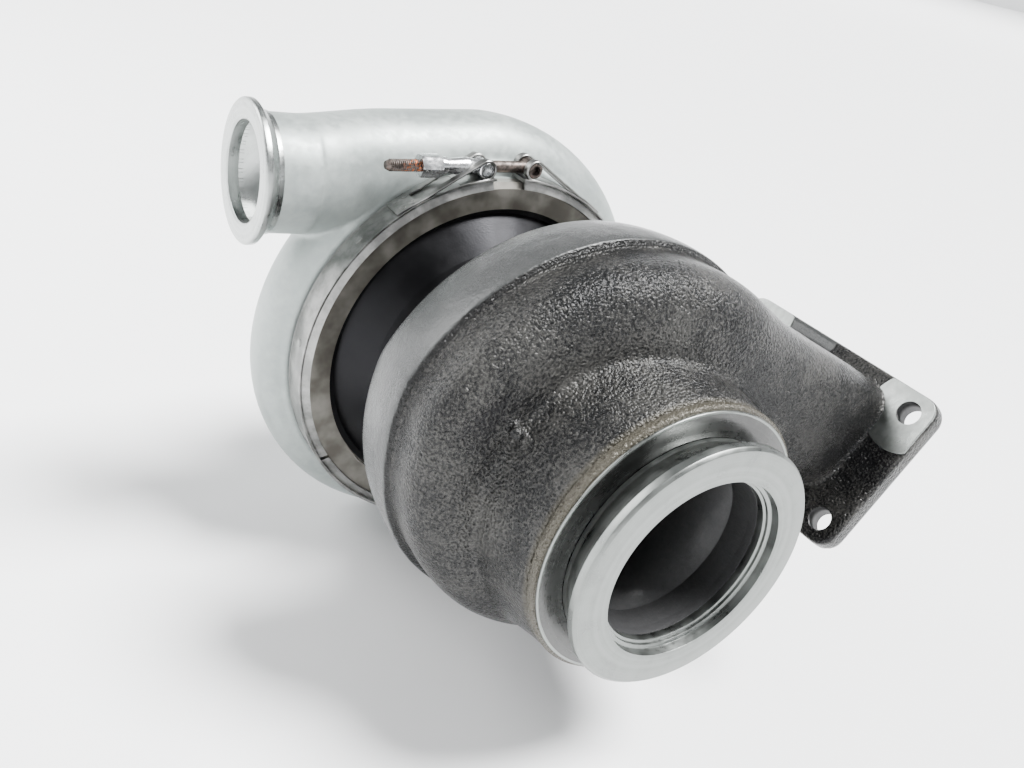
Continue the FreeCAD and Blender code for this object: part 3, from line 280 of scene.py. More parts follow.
class Paint:
    """A node material on Object coordinates, built from small steps."""

    def __init__(self, name):
        self.material = bpy.data.materials.new(name)
        self.material.use_nodes = True
        self.tree = self.material.node_tree
        self.shader = self.tree.nodes["Principled BSDF"]
        self.place = self.tree.nodes.new("ShaderNodeTexCoord").outputs["Object"]

    def node(self, kind, settings=None, **inputs):
        made = self.tree.nodes.new(kind)
        for name, value in (settings or {}).items():
            setattr(made, name, value)
        for name, value in inputs.items():
            self.put(made, name.replace("_", " "), value)
        return made

    def put(self, node, name, value):
        self.feed(next(s for s in node.inputs if s.enabled and name in (s.name, s.identifier)),
                  value)

    def feed(self, socket, value):
        """Links another node's output into a socket, or sets the socket to a plain value."""
        if isinstance(value, bpy.types.NodeSocket):
            self.tree.links.new(value, socket)
        else:
            socket.default_value = value

    def math(self, operation, first, second=0.0):
        made = self.tree.nodes.new("ShaderNodeMath")
        made.operation = operation
        for socket, value in zip(made.inputs, (first, second)):
            self.feed(socket, value)
        return made.outputs[0]

    def noise(self, size, detail=3.0, roughness=0.55, place=None):
        """Noise whose features are about this many millimetres across."""
        made = self.node("ShaderNodeTexNoise", Scale=1.0 / (size * MM), Detail=detail,
                         Roughness=roughness, Vector=place or self.place)
        return made.outputs["Fac"]

    def cells(self, size):
        made = self.node("ShaderNodeTexVoronoi", {"feature": "SMOOTH_F1"}, Scale=1.0 / (size * MM),
                         Vector=self.place)
        return made.outputs["Distance"]

    def span(self, value, low, high, new_low=0.0, new_high=1.0):
        """Eases a value from one range to another."""
        made = self.tree.nodes.new("ShaderNodeMapRange")
        made.interpolation_type = "SMOOTHSTEP"
        for socket, source in zip(made.inputs[:5], (value, low, high, new_low, new_high)):
            self.feed(socket, source)
        return made.outputs[0]

    def blend(self, share, low, high):
        """A colour between two, by a share from 0 to 1."""
        made = self.tree.nodes.new("ShaderNodeMix")
        made.data_type = "RGBA"
        for identifier, value in (("Factor_Float", share), ("A_Color", low), ("B_Color", high)):
            socket = next(s for s in made.inputs if s.identifier == identifier)
            color = identifier != "Factor_Float" and not isinstance(value, bpy.types.NodeSocket)
            self.feed(socket, (*value, 1.0) if color else value)
        return next(s for s in made.outputs if s.identifier == "Result_Color")

    def parts(self):
        split = self.node("ShaderNodeSeparateXYZ", Vector=self.place)
        return split.outputs

    def radius(self, centre=(0.0, 0.0), axes="XZ"):
        """Distance from an axis along the third direction, in metres."""
        parts = self.parts()
        first = self.math("SUBTRACT", parts[axes[0]], centre[0] * MM)
        second = self.math("SUBTRACT", parts[axes[1]], centre[1] * MM)
        total = self.math("ADD", self.math("MULTIPLY", first, first),
                          self.math("MULTIPLY", second, second))
        return self.math("SQRT", total)

    def relief(self, *layers):
        """Bumps from (height, depth in millimetres) layers, joined to the shader's normal."""
        normal = None
        for height, depth in layers:
            bump = self.node("ShaderNodeBump", Height=height, Distance=depth * MM, Strength=1.0)
            if normal is not None:
                self.put(bump, "Normal", normal)
            normal = bump.outputs["Normal"]
        self.put(self.shader, "Normal", normal)

    def shade(self, **values):
        for name, value in values.items():
            label = {"color": "Base Color", "metal": "Metallic", "rough": "Roughness",
                     "coat": "Coat Weight",
                     "coat_rough": "Coat Roughness", "shine": "Specular IOR Level"}[name]
            if name == "color" and not isinstance(value, bpy.types.NodeSocket):
                value = (*value, 1.0)
            self.put(self.shader, label, value)
        return self.material


def turned_metal(name, color, rough, centre=(0.0, 0.0), axes="XZ", lines=0.35, wear=0.25,
                 metal=1.0):
    """Lathe-cut metal: fine rings about an axis, faint stains and small scratches."""
    paint = Paint(name)
    distance = paint.radius(centre, axes)
    third = ({"X", "Y", "Z"} - set(axes)).pop()
    along = paint.parts()[third]
    rings = paint.node("ShaderNodeCombineXYZ", X=distance, Y=along, Z=0.0)
    fine = paint.noise(lines, 2.0, 0.7, rings.outputs[0])
    broad = paint.noise(lines * 9, 2.0, 0.5, rings.outputs[0])
    stain = paint.noise(14.0, 4.0, 0.6)
    spots = paint.span(paint.noise(2.2, 5.0, 0.7), 0.60, 0.78)
    shade = paint.math("ADD", paint.math("MULTIPLY", stain, 0.55),
                       paint.math("MULTIPLY", broad, 0.45))
    dark = tuple(channel * (1 - wear) for channel in color)
    bright = tuple(min(1.0, channel * (1 + 0.35 * wear)) for channel in color)
    tint = paint.blend(paint.span(shade, 0.35, 0.65), dark, bright)
    tint = paint.blend(paint.math("MULTIPLY", spots, 0.35 * wear), tint,
                       tuple(c * 0.35 for c in color))
    paint.relief((fine, 0.012), (paint.noise(0.9, 3.0), 0.006))
    roughness = paint.span(paint.math("ADD", stain, paint.math("MULTIPLY", fine, 0.4)), 0.45, 0.95,
                           rough - 0.06, rough + 0.14)
    return paint.shade(color=tint, metal=metal, rough=roughness)


def cast_metal(name, dark, light, rough, grain, metal, oil=0.0, shine=0.5):
    """Sand-cast metal with pits, lumps and stains."""
    paint = Paint(name)
    lumps = paint.noise(3.4, 3.0, 0.6)
    pits = paint.cells(1.5)
    fine = paint.noise(0.55, 4.0, 0.65)
    stain = paint.noise(26.0, 5.0, 0.6)
    tint = paint.blend(paint.span(paint.math("ADD", paint.math("MULTIPLY", stain, 0.6),
                                             paint.math("MULTIPLY", lumps, 0.4)), 0.36, 0.64), dark,
                                             light)
    hollow = paint.span(pits, 0.05, 0.35)
    tint = paint.blend(paint.math("MULTIPLY", paint.math("SUBTRACT", 1.0, hollow), 0.5), tint,
                       tuple(channel * 0.4 for channel in dark))
    paint.relief((lumps, 0.30 * grain), (pits, 0.22 * grain), (fine, 0.10 * grain))
    roughness = paint.span(paint.math("ADD", stain, paint.math("MULTIPLY", fine, 0.5)), 0.5, 1.0,
                           rough - 0.08, rough + 0.12)
    return paint.shade(color=tint, metal=metal, rough=roughness, coat=oil, coat_rough=0.25,
                       shine=shine)


PARTING_LINE = 103.0


def turbine_iron():
    """The turbine casting: coarse, with painted shade along the step at the parting line and a
    smoother band behind it.
    """
    paint = Paint("turbine_cast_iron")
    station = paint.parts()["Y"]
    distance = paint.radius()
    lumps = paint.noise(1.4, 2.0, 0.5)
    pits = paint.cells(1.3)
    fine = paint.noise(0.5, 3.0, 0.6)
    waves = paint.noise(13.0, 2.0, 0.5)
    stain = paint.noise(34.0, 3.0, 0.5)
    drift = paint.math("MULTIPLY", paint.math("SUBTRACT", paint.noise(9.0, 3.0), 0.5), 1.6 * MM)
    edge = paint.math("ADD", station, drift)
    outside = paint.span(distance, 0.096, 0.104)
    band = paint.math("MULTIPLY",
                      paint.span(edge, (PARTING_LINE + 0.2) * MM, (PARTING_LINE + 1.2) * MM),
                      outside)
    # painted shade: a near-black line just in front of the parting line stands for the shadow of
    # its step, which is also bumped in
    line = paint.math("MULTIPLY", paint.math("MULTIPLY",
                      paint.span(edge, (PARTING_LINE - 1.5) * MM, (PARTING_LINE - 0.5) * MM),
                      paint.math("SUBTRACT", 1.0, band)), outside)
    neck = paint.math("MULTIPLY", paint.span(station, 0.031, 0.027),
                      paint.span(distance, 0.090, 0.086))
    # painted highlight mixed with real tone: the stains vary the colour at random, but the lump
    # tops are painted lighter for glints
    shade = paint.math("ADD", paint.math("MULTIPLY", stain, 0.42),
                       paint.math("MULTIPLY", lumps, 0.58))
    tint = paint.blend(paint.span(shade, 0.40, 0.62), (0.006, 0.0062, 0.0066),
                       (0.046, 0.0448, 0.042))
    # painted shade: the pits are darkened towards near-black
    hollow = paint.math("SUBTRACT", 1.0, paint.span(pits, 0.10, 0.42))
    tint = paint.blend(paint.math("MULTIPLY", hollow, 0.55), tint, (0.003, 0.003, 0.003))
    tint = paint.blend(paint.math("MULTIPLY", band, 0.8), tint, (0.062, 0.064, 0.064))
    tint = paint.blend(paint.math("MULTIPLY", line, 0.9), tint, (0.01, 0.01, 0.01))
    tint = paint.blend(paint.math("MULTIPLY", neck, 0.6), tint, (0.085, 0.077, 0.058))
    coarse = paint.math("SUBTRACT", 1.0, paint.math("MULTIPLY", band, 0.82))
    paint.relief((waves, 0.8), (paint.math("MULTIPLY", lumps, coarse), 0.95),
                 (paint.math("MULTIPLY", pits, coarse), 0.55), (fine, 0.10),
                 (paint.math("MULTIPLY", line, -1.0), 0.7))
    roughness = paint.span(paint.math("ADD", stain, paint.math("MULTIPLY", fine, 0.6)), 0.5, 1.1,
                           0.22, 0.34)
    return paint.shade(color=tint, metal=0.35, rough=roughness, shine=0.25)


def compressor_aluminium():
    """Fine pale cast aluminium, a little green, with faint grain and clouding."""
    paint = Paint("compressor_cast_aluminium")
    cloud = paint.noise(42.0, 4.0, 0.55)
    mottling = paint.noise(5.0, 4.0, 0.6)
    fine = paint.noise(0.45, 3.0, 0.65)
    shade = paint.math("ADD", paint.math("MULTIPLY", cloud, 0.6),
                       paint.math("MULTIPLY", mottling, 0.4))
    tint = paint.blend(paint.span(shade, 0.36, 0.66), (0.27, 0.302, 0.293), (0.36, 0.392, 0.38))
    specks = paint.span(paint.noise(1.3, 4.0, 0.7), 0.66, 0.80)
    tint = paint.blend(paint.math("MULTIPLY", specks, 0.22), tint, (0.22, 0.23, 0.22))
    paint.relief((mottling, 0.05), (fine, 0.045))
    roughness = paint.span(paint.math("ADD", mottling, paint.math("MULTIPLY", fine, 0.4)), 0.5, 0.9,
                           0.40, 0.54)
    return paint.shade(color=tint, metal=0.45, rough=roughness)


def strip_steel(name):
    """Rolled stainless strip, brushed around the band."""
    paint = Paint(name)
    distance = paint.radius()
    across = paint.node("ShaderNodeCombineXYZ", X=distance, Y=paint.parts()["Y"], Z=0.0)
    brushed = paint.noise(0.35, 2.0, 0.6, across.outputs[0])
    stain = paint.noise(12.0, 4.0, 0.6)
    tint = paint.blend(paint.span(stain, 0.35, 0.68), (0.17, 0.17, 0.165), (0.32, 0.32, 0.31))
    grime = paint.span(paint.noise(3.0, 5.0, 0.7), 0.60, 0.80)
    tint = paint.blend(paint.math("MULTIPLY", grime, 0.4), tint, (0.06, 0.055, 0.05))
    paint.relief((brushed, 0.015))
    return paint.shade(color=tint, metal=1.0, rough=paint.span(stain, 0.3, 0.7, 0.30, 0.46))


def rusty_bolt():
    """A dark steel bolt with a rusty thread and orange thread lock near the nut."""
    paint = Paint("t_bolt_steel")
    parts = paint.parts()
    thread = paint.node("ShaderNodeTexWave", {"wave_type": "BANDS", "bands_direction": "X"},
                        Scale=42.0, Distortion=0.6, Vector=paint.place).outputs["Fac"]
    patch = paint.noise(3.0, 5.0, 0.7)
    tint = paint.blend(paint.span(patch, 0.40, 0.62), (0.035, 0.028, 0.024), (0.13, 0.11, 0.10))
    tint = paint.blend(paint.math("MULTIPLY", paint.span(patch, 0.52, 0.70), 0.7), tint,
                       (0.085, 0.045, 0.03))
    beside_nut = paint.math("MULTIPLY", paint.span(parts["X"], -0.074, -0.070),
                            paint.span(parts["X"], -0.061, -0.063))
    lock = paint.math("MULTIPLY", beside_nut, paint.span(paint.noise(2.0), 0.50, 0.62))
    tint = paint.blend(paint.math("MULTIPLY", lock, 0.75), tint, (0.50, 0.13, 0.03))
    paint.relief((thread, 0.16), (patch, 0.06))
    return paint.shade(color=tint, metal=0.75, rough=0.46)


def plated_steel(name, color, rough):
    """Bright plated steel with small scratches."""
    paint = Paint(name)
    cloud = paint.noise(5.0, 4.0, 0.6)
    tint = paint.blend(paint.span(cloud, 0.35, 0.7), tuple(c * 0.8 for c in color), color)
    paint.relief((paint.noise(0.7, 4.0, 0.7), 0.02))
    return paint.shade(color=tint, metal=1.0,
                       rough=paint.span(cloud, 0.3, 0.75, rough - 0.05, rough + 0.12))


def backplate_painted_shade_and_rim():
    """Near-black painted shade for the gap between the housings, with a bright turned rim where the
    band seats.
    """
    paint = Paint("backplate_aluminium")
    distance = paint.radius()
    rings = paint.node("ShaderNodeCombineXYZ", X=distance, Y=paint.parts()["Y"], Z=0.0)
    lines = paint.noise(0.4, 2.0, 0.6, rings.outputs[0])
    stain = paint.noise(22.0, 3.0, 0.55)
    rim = paint.span(distance, 0.0990, 0.0998)
    # painted shade: the web inside the rim is near-black to stand for the shadow between the
    # housings; the rim's colour is the turned metal's own
    dark = paint.blend(stain, (0.004, 0.004, 0.005), (0.011, 0.011, 0.012))
    bright = paint.blend(paint.span(stain, 0.35, 0.70), (0.13, 0.122, 0.105), (0.26, 0.25, 0.225))
    paint.relief((lines, 0.02), (paint.noise(1.2, 4.0), 0.05))
    return paint.shade(color=paint.blend(rim, dark, bright), metal=0.85,
                       rough=paint.span(stain, 0.3, 0.7, 0.28, 0.44))


def soft_rubber():
    paint = Paint("seal_rubber")
    cloud = paint.noise(4.0, 3.0)
    paint.relief((paint.noise(0.5, 3.0), 0.02))
    return paint.shade(color=paint.blend(cloud, (0.012, 0.012, 0.012), (0.035, 0.035, 0.035)),
                       rough=0.6)


MATERIALS = {
    "turbine_cast_iron": turbine_iron(),
    "clamp_plate_steel": plated_steel("clamp_plate_steel", (0.34, 0.33, 0.31), 0.40),
    "bolt_steel": plated_steel("bolt_steel", (0.40, 0.39, 0.36), 0.34),
    "shield_steel": strip_steel("shield_steel"),
    "turbine_wheel_alloy": cast_metal("turbine_wheel_alloy", (0.05, 0.048, 0.045),
                                      (0.12, 0.115, 0.11), 0.4, 0.12, 0.9),
    "compressor_wheel_aluminium": turned_metal("compressor_wheel_aluminium", (0.72, 0.73, 0.74),
                                               0.24, lines=0.5, wear=0.12),
    "machined_steel": turned_metal("machined_steel", (0.50, 0.50, 0.50), 0.24),
    "bearing_bronze": turned_metal("bearing_bronze", (0.60, 0.42, 0.20), 0.28),
    "spring_steel": plated_steel("spring_steel", (0.26, 0.26, 0.27), 0.34),
    # painted shade: the bearing housing is near-black to stand for the shadow between the two
    # housings
    "bearing_housing_iron": cast_metal("bearing_housing_iron", (0.010, 0.010, 0.0105),
                                       (0.03, 0.03, 0.03), 0.5, 1.0, 0.5),
    "backplate_aluminium": backplate_painted_shade_and_rim(),
    "compressor_cast_aluminium": compressor_aluminium(),
    "strap_stainless": strip_steel("strap_stainless"),
    "t_bolt_steel": rusty_bolt(),
    "zinc_plated_steel": plated_steel("zinc_plated_steel", (0.70, 0.71, 0.72), 0.22),
    "seal_rubber": soft_rubber(),
}
TURNED_IRON = turned_metal("turned_iron", (0.21, 0.222, 0.213), 0.30, wear=0.2)
# painted shade: dark turned iron for the back wall of the band groove, standing for the shadow deep
# in the groove
GROOVE_SHADE_IRON = turned_metal("groove_iron_painted_shade", (0.075, 0.075, 0.074), 0.22)
TURNED_INLET_IRON = turned_metal("milled_iron", (0.26, 0.27, 0.258), 0.33, (0.0, 0.0), "XY")
# painted shade: near-black for the insides of the bores, gas passages and stud holes, which lie in
# shadow
PAINTED_SHADE_BORE = cast_metal("bore_painted_shade", (0.003, 0.003, 0.0035), (0.009, 0.009, 0.010), 0.7, 0.4, 0.0,
                       0.15)
TURNED_ALUMINIUM = turned_metal("turned_aluminium", (0.40, 0.42, 0.41), 0.28, wear=0.15)
OUTLET_ALUMINIUM = turned_metal("outlet_aluminium", (0.42, 0.44, 0.43), 0.28, (260.5, 102.0), "YZ")

for entry in frame["record"]["subparts"]:
    NODES[entry["node"]].data.materials.clear()
    NODES[entry["node"]].data.materials.append(MATERIALS[entry["material_slot"]])


# ---------------------------------------------------------------- turbine housing

INLET_ANGLE = -31.5
NORMAL = polar(1.0, INLET_ANGLE)
ACROSS = polar(1.0, INLET_ANGLE + 90)
FLANGE_FACE = 140.0
FLANGE_THICKNESS = 14.0
FLANGE_MIDDLE = 100.0
FLANGE_OFFSET = 96.5
FLANGE_LENGTH = 157.0
FLANGE_WIDTH = 108.0
FLANGE_CORNER = 11.0
HOLES = [(64.0 * along, 40.0 * over) for along in (-1, 1) for over in (-1, 1)]
STUD_HOLE = 7.0
CASTING_FRONT = 49.0
CASTING_BACK = 150.0
SCROLL_RADIUS = 129.0
INLET_TOP = 141.0
SCROLL_FIRST = 58.5
SCROLL_SPAN = 342.0
FOOT = 58.0


def scroll_radius(turn):
    """Outer radius of the scroll, which shrinks after its first quarter."""
    if turn <= 97.0:
        return SCROLL_RADIUS
    return 80.0 + 49.0 * ((SCROLL_SPAN - turn) / (SCROLL_SPAN - 97.0)) ** 2.1


def scroll_ends(turn):
    """Front and back stations of the scroll."""
    front = CASTING_FRONT + 17.0 * ease(turn / 70.0) - 9.0 * ease((turn - 105.0) / 60.0)
    return front, CASTING_BACK - 10.2 * turn / SCROLL_SPAN


def scroll_outline(turn):
    """The scroll's section as (station, radius) points in three runs: near lobe, step, far band."""
    front, back = scroll_ends(turn)
    height = scroll_radius(turn) - FOOT
    sunk = 1.0 - 0.13 * ease((turn - 118.0) / 80.0)
    near = [(PARTING_LINE, 0.0), (front + 14, 0.0), (front + 1.5, 0.22), (front, 0.44)]
    near += [(front + share * (PARTING_LINE - front), high * sunk) for share, high in (
        (0.03, 0.63), (0.12, 0.81), (0.29, 0.925), (0.50, 0.965), (0.72, 0.962), (0.90, 0.945))]
    dip = min(0.955, 0.955 * (0.35 + 0.65 * sunk))
    near.append((PARTING_LINE - 0.4, dip))
    far = [(PARTING_LINE + 0.4, 1.0), (PARTING_LINE + 4, 1.004)]
    far += [(PARTING_LINE + share * (back - PARTING_LINE), high) for share, high in (
        (0.30, 1.0), (0.58, 0.975), (0.82, 0.935), (0.93, 0.90), (0.985, 0.84), (1.0, 0.74),
        (1.0, 0.3))]
    far += [(back - 1, 0.0), (PARTING_LINE, 0.0)]
    runs = []
    for knots in (near, far):
        curve = spline([(along, FOOT + height * high) for along, high in knots])
        runs.append(resample(curve, 60))
    return runs[0] + runs[1][:-1]


def duct_outline(share):
    """The inlet duct's section between the scroll and the flange, with round corners."""
    low = FOOT + (66.0 - FOOT) * share
    high = SCROLL_RADIUS + (INLET_TOP - SCROLL_RADIUS) * share
    front, back, corner, middle = CASTING_FRONT, CASTING_BACK, 17.0, PARTING_LINE

    def arc(centre_along, centre_high, first):
        return [Vector((centre_along + corner * math.cos(math.radians(first - 15 * step)),
                        centre_high + corner * math.sin(math.radians(first - 15 * step))))
                for step in range(7)]

    near = [Vector((middle, low))] + arc(front + corner, low + corner, 270) \
        + arc(front + corner, high - corner, 180) + [Vector((middle, high))]
    far = [Vector((middle, high))] + arc(back - corner, high - corner, 90) \
        + arc(back - corner, low + corner, 0) + [Vector((middle, low))]
    return resample(near, 60) + resample(far, 60)[:-1]


def scroll_casting():
    """The double scroll and its inlet duct as one closed skin."""
    rings = []
    start = scroll_outline(0.0)
    for step in range(15):
        share = 1 - step / 14.5
        square = duct_outline(share)
        weight = ease(share * 1.25)
        origin = NORMAL * ((FLANGE_FACE - 6.0) * share)
        ring = [scrolled.lerp(ducted, weight) for scrolled, ducted in zip(start, square)]
        rings.append([origin + AXIS * along + ACROSS * high for along, high in ring])
    for step in range(115):
        turn = SCROLL_SPAN * step / 114
        rings.append([polar(high, SCROLL_FIRST + turn, along) for along,
                      high in scroll_outline(turn)])
    return loft("scroll", rings)


def flange_place(along, over, depth):
    """A point on the inlet flange, from its centre, with depth measured into it."""
    return (NORMAL * (FLANGE_FACE - depth) + AXIS * (FLANGE_MIDDLE + along)
            + ACROSS * (FLANGE_OFFSET + over))


def plate_outline(inset=0.0, corner=FLANGE_CORNER):
    half_along, half_over = FLANGE_LENGTH / 2 - inset, FLANGE_WIDTH / 2 - inset
    outline = []
    for sign_along, sign_over, first in ((1, 1, 0), (-1, 1, 90), (-1, -1, 180), (1, -1, 270)):
        for step in range(9):
            turn = math.radians(first + 90 * step / 8)
            outline.append((sign_along * (half_along - corner) + corner * math.cos(turn),
                            sign_over * (half_over - corner) + corner * math.sin(turn)))
    return outline


def flange_slab(name, shallow, deep, inset=0.0, corner=FLANGE_CORNER, edge=0.0, material=None):
    """A slice of the flange plate between two depths, with chamfered edges if asked."""
    levels = [(shallow, edge), (shallow + edge, 0.0), (deep - edge, 0.0), (deep, edge)] if edge \
        else [(shallow, 0.0), (deep, 0.0)]
    rings = [[flange_place(along, over, depth) for along,
              over in plate_outline(inset + shrink, corner)]
             for depth, shrink in levels]
    return crease(loft(name, rings, material=material))


def flange_pad(name, along, over):
    """A spot face about one hole, bounded by an arc and by the plate's own edge."""
    outer, inner = [], []
    rim = 0.7
    corner = FLANGE_CORNER - rim
    for step in range(96):
        turn = 2 * math.pi * step / 96
        way = Vector((math.cos(turn), math.sin(turn)))
        reach = 25.5
        while reach > 8.0:
            spot = Vector((along, over)) + way * reach
            past = Vector((max(0.0, abs(spot.x) - (FLANGE_LENGTH / 2 - rim - corner)),
                           max(0.0, abs(spot.y) - (FLANGE_WIDTH / 2 - rim - corner))))
            if past.length <= corner:
                break
            reach -= 0.25
        outer.append((along + way.x * reach, over + way.y * reach))
        inner.append((along + way.x * 7.3, over + way.y * 7.3))
    face, foot, soft = FLANGE_THICKNESS + 0.7, FLANGE_THICKNESS - 1.0, 0.35
    mid = [(along + (a - along) * 0.985, over + (o - over) * 0.985) for a, o in outer]
    rings = [[flange_place(a, o, foot) for a, o in outer],
             [flange_place(a, o, face - soft) for a, o in outer],
             [flange_place(a, o, face) for a, o in mid],
             [flange_place(a, o, face) for a, o in inner],
             [flange_place(a, o, foot) for a, o in inner]]
    rings.append(rings[0])
    return crease(loft(name, rings, capped=False, material=TURNED_IRON))


def gas_channel(near):
    """One of the two gas passages, to cut out of the casting."""
    wall, divider = 8.0, 4.5
    stations = [(NORMAL * (FLANGE_FACE * share), ACROSS, FOOT + 8.0 * share,
                 SCROLL_RADIUS + 12.0 * share, CASTING_FRONT, CASTING_BACK)
                for share in (1.02, 0.9, 0.8, 0.7, 0.6, 0.5, 0.4, 0.2)]
    for step in range(24):
        turn = 12.0 * step
        stations.append((Vector(), polar(1.0, SCROLL_FIRST + turn), FOOT, scroll_radius(turn),
                         *scroll_ends(turn)))
    rings = []
    for index, (origin, across, foot, outer, front, back) in enumerate(stations):
        rear_wall = wall + 8.0 * min(index / 6, 1)
        low, high = (front + wall, FLANGE_MIDDLE - divider) if near else (FLANGE_MIDDLE + divider,
                                                                          back - rear_wall)
        inner = foot + wall
        outer = max(outer - wall - 2.0, inner + 12.0)
        centre = origin + AXIS * ((low + high) / 2) + across * ((inner + outer) / 2)
        rings.append(superellipse(centre, AXIS, across, (high - low) / 2, (outer - inner) / 2, 3.2))
    return loft("channel", rings, material=PAINTED_SHADE_BORE)


def wheel_chamber():
    """The bore, wheel space and bearing seat, to cut out of the casting."""
    return plug("chamber", [
        (0.01, -1), (51.5, -1), (51.5, 5), (48, 5), (48, 17), (42.4, 58), (42.4, 66), (43.1, 80.5),
        (46.4, 92.5),
        (72, 88.5), (72, 111.5), (46.4, 107), (46.4, 114.3), (60, 114.3), (60, 138), (70.3, 138),
        (70.3, 149),
        (0.01, 149)], material=PAINTED_SHADE_BORE)


def stud_holes():
    """The flange's four stud holes, to cut out."""
    outline = [(0.01, -4), (STUD_HOLE, -4), (STUD_HOLE, 20), (0.01, 20)]
    return [plug("hole", outline, flange_place(along, over, 0), -NORMAL, 48, PAINTED_SHADE_BORE)
            for along, over in HOLES]


def turbine_casting():
    """The whole housing as one welded skin with its passages cut out, and its machined faces."""
    core = plug("core", [
        (0.01, 27.3), (78.3, 27.3), (79.6, 28.4), (81.6, 40), (84.4, 52), (88, 66), (90, 80),
        (92, 90), (92, 148),
        (0.01, 148)], steps=180)
    boss = plug("boss", [(0.01, -3), (4.2, -3), (3.2, 4), (0.01, 4.6)], polar(93, 148, 62),
                polar(-0.6, 148, -0.8),
                steps=24)
    body = merged("turbine_casting", [scroll_casting(), core, boss, flange_slab(
        "plate", 0.8, FLANGE_THICKNESS, edge=1.2)])

    def softness(point):
        outward = point.dot(NORMAL)
        radius = math.hypot(point.x, point.z)
        near_line = near_plate = 1.0
        if radius > 96 and outward < 110:
            near_line = ease(abs(point.y - PARTING_LINE) / 5.0)
        if outward > 108 and point.dot(ACROSS) > 36:
            near_plate = 0.25 + 0.75 * ease((122.0 - outward) / 10.0)
        return max(0.0, min(near_line, near_plate))

    weld(body, 1.35, 22, softness)
    body.data.materials.append(MATERIALS["turbine_cast_iron"])
    back_cut = plug("back_cut", [(0.01, 148), (92, 148), (92, 175), (0.01, 175)],
                    material=TURNED_IRON)
    cut(body, wheel_chamber(), gas_channel(True), gas_channel(False), back_cut, *stud_holes())
    finished(body, "housing", "turbine_cast_iron", "turbine_housing")
    face = flange_slab("inlet_gasket_face", 0.0, 1.0, inset=1.3, corner=FLANGE_CORNER - 1.3,
                       material=TURNED_INLET_IRON)
    cut(face, gas_channel(True), gas_channel(False), *stud_holes())
    finished(face, "housing", "turbine_cast_iron")
    for label, (along, over) in (("near_flange_pad", HOLES[1]), ("far_flange_pad", HOLES[3])):
        finished(flange_pad(label, along, over), "housing", "turbine_cast_iron")


def outlet_rings():
    """The machined outlet rim, its band groove and the collar behind, as separate turned faces."""
    rim = lathe("outlet_rim", [
        (51.5, 0.0), (68.4, 0.0), (70.0, 1.6), (70.0, 5.6), (63.2, 17.6), (63.2, 20.4), (56, 20.4),
        (56, 12),
        (48.2, 12), (48.2, 7.6), (49.6, 7.2), (49.6, 5.6), (51.5, 5.0)], 0.25, material=TURNED_IRON)
    finished(rim, "housing", "turbine_cast_iron")
    # painted shade: a near-black ring inside the outlet bore stands for the shadow deep in it
    bore_shade_ring = lathe("outlet_bore_painted_shade",
                   [(48.0, 11.8), (60, 11.8), (60, 28.4), (46.2, 28.4), (48.0, 17.0)], 0.1,
                   material=PAINTED_SHADE_BORE)
    finished(bore_shade_ring, "housing", "turbine_cast_iron")
    collar = lathe("outlet_collar", [
        (59, 20.9), (77.2, 20.9), (77.4, 22.2), (78.5, 22.3), (79.5, 23.3), (79.5, 25.6),
        (78.4, 26.1),
        (78.4, 27.9), (59, 27.9)], 0.2, material=MATERIALS["turbine_cast_iron"])
    finished(collar, "housing", "turbine_cast_iron")
    lip = lathe("outlet_collar_lip",
                [(75.9, 20.5), (77.0, 20.5), (77.4, 20.9), (77.4, 22.0), (75.9, 22.0)], 0.15,
                material=TURNED_IRON)
    finished(lip, "housing", "turbine_cast_iron")
    # painted shade: the groove's back wall is darkened for the shadow in the groove
    wall = lathe("outlet_groove_wall", [(61.5, 20.6), (76.0, 20.6), (76.0, 21.2), (61.5, 21.2)],
                 0.1,
                 material=GROOVE_SHADE_IRON)
    finished(wall, "housing", "turbine_cast_iron")


turbine_casting()
outlet_rings()


# ---------------------------------------------------------------- compressor housing

OUTLET_REACH = 151.0
OUTLET_CENTRE = Vector((-151.0, 260.5, 102.0))


def compressor_ring(turn, inset=0.0):
    """The scroll's section, growing towards the outlet."""
    share = turn / 340.0
    radial = 17.0 + 21.0 * share
    depth = (34.0 + 28.0 * share) / 2
    outer = 133.0 + 11.0 * share ** 1.5
    centre = polar(outer - radial, 110.0 + turn, 241.5 + depth)
    return superellipse(centre, AXIS, polar(1.0, 110.0 + turn), depth - inset, radial - inset, 2.3,
                        72)


def outlet_ring(share, inset=0.0):
    """The outlet tube's section, from the scroll's end at 0 to the rim's tube at 1."""
    aside = ease((share - 0.5) / 0.5)
    centre = Vector((-0.85 * OUTLET_REACH * share, 272.5 - 12.0 * aside, 106.0 - 4.0 * share))
    return superellipse(centre, AXIS, Vector((0, 0, 1)), 31.0 + 1.5 * aside - inset,
                        38.0 - 5.5 * share - inset,
                        2.3 - 0.3 * share, 72)


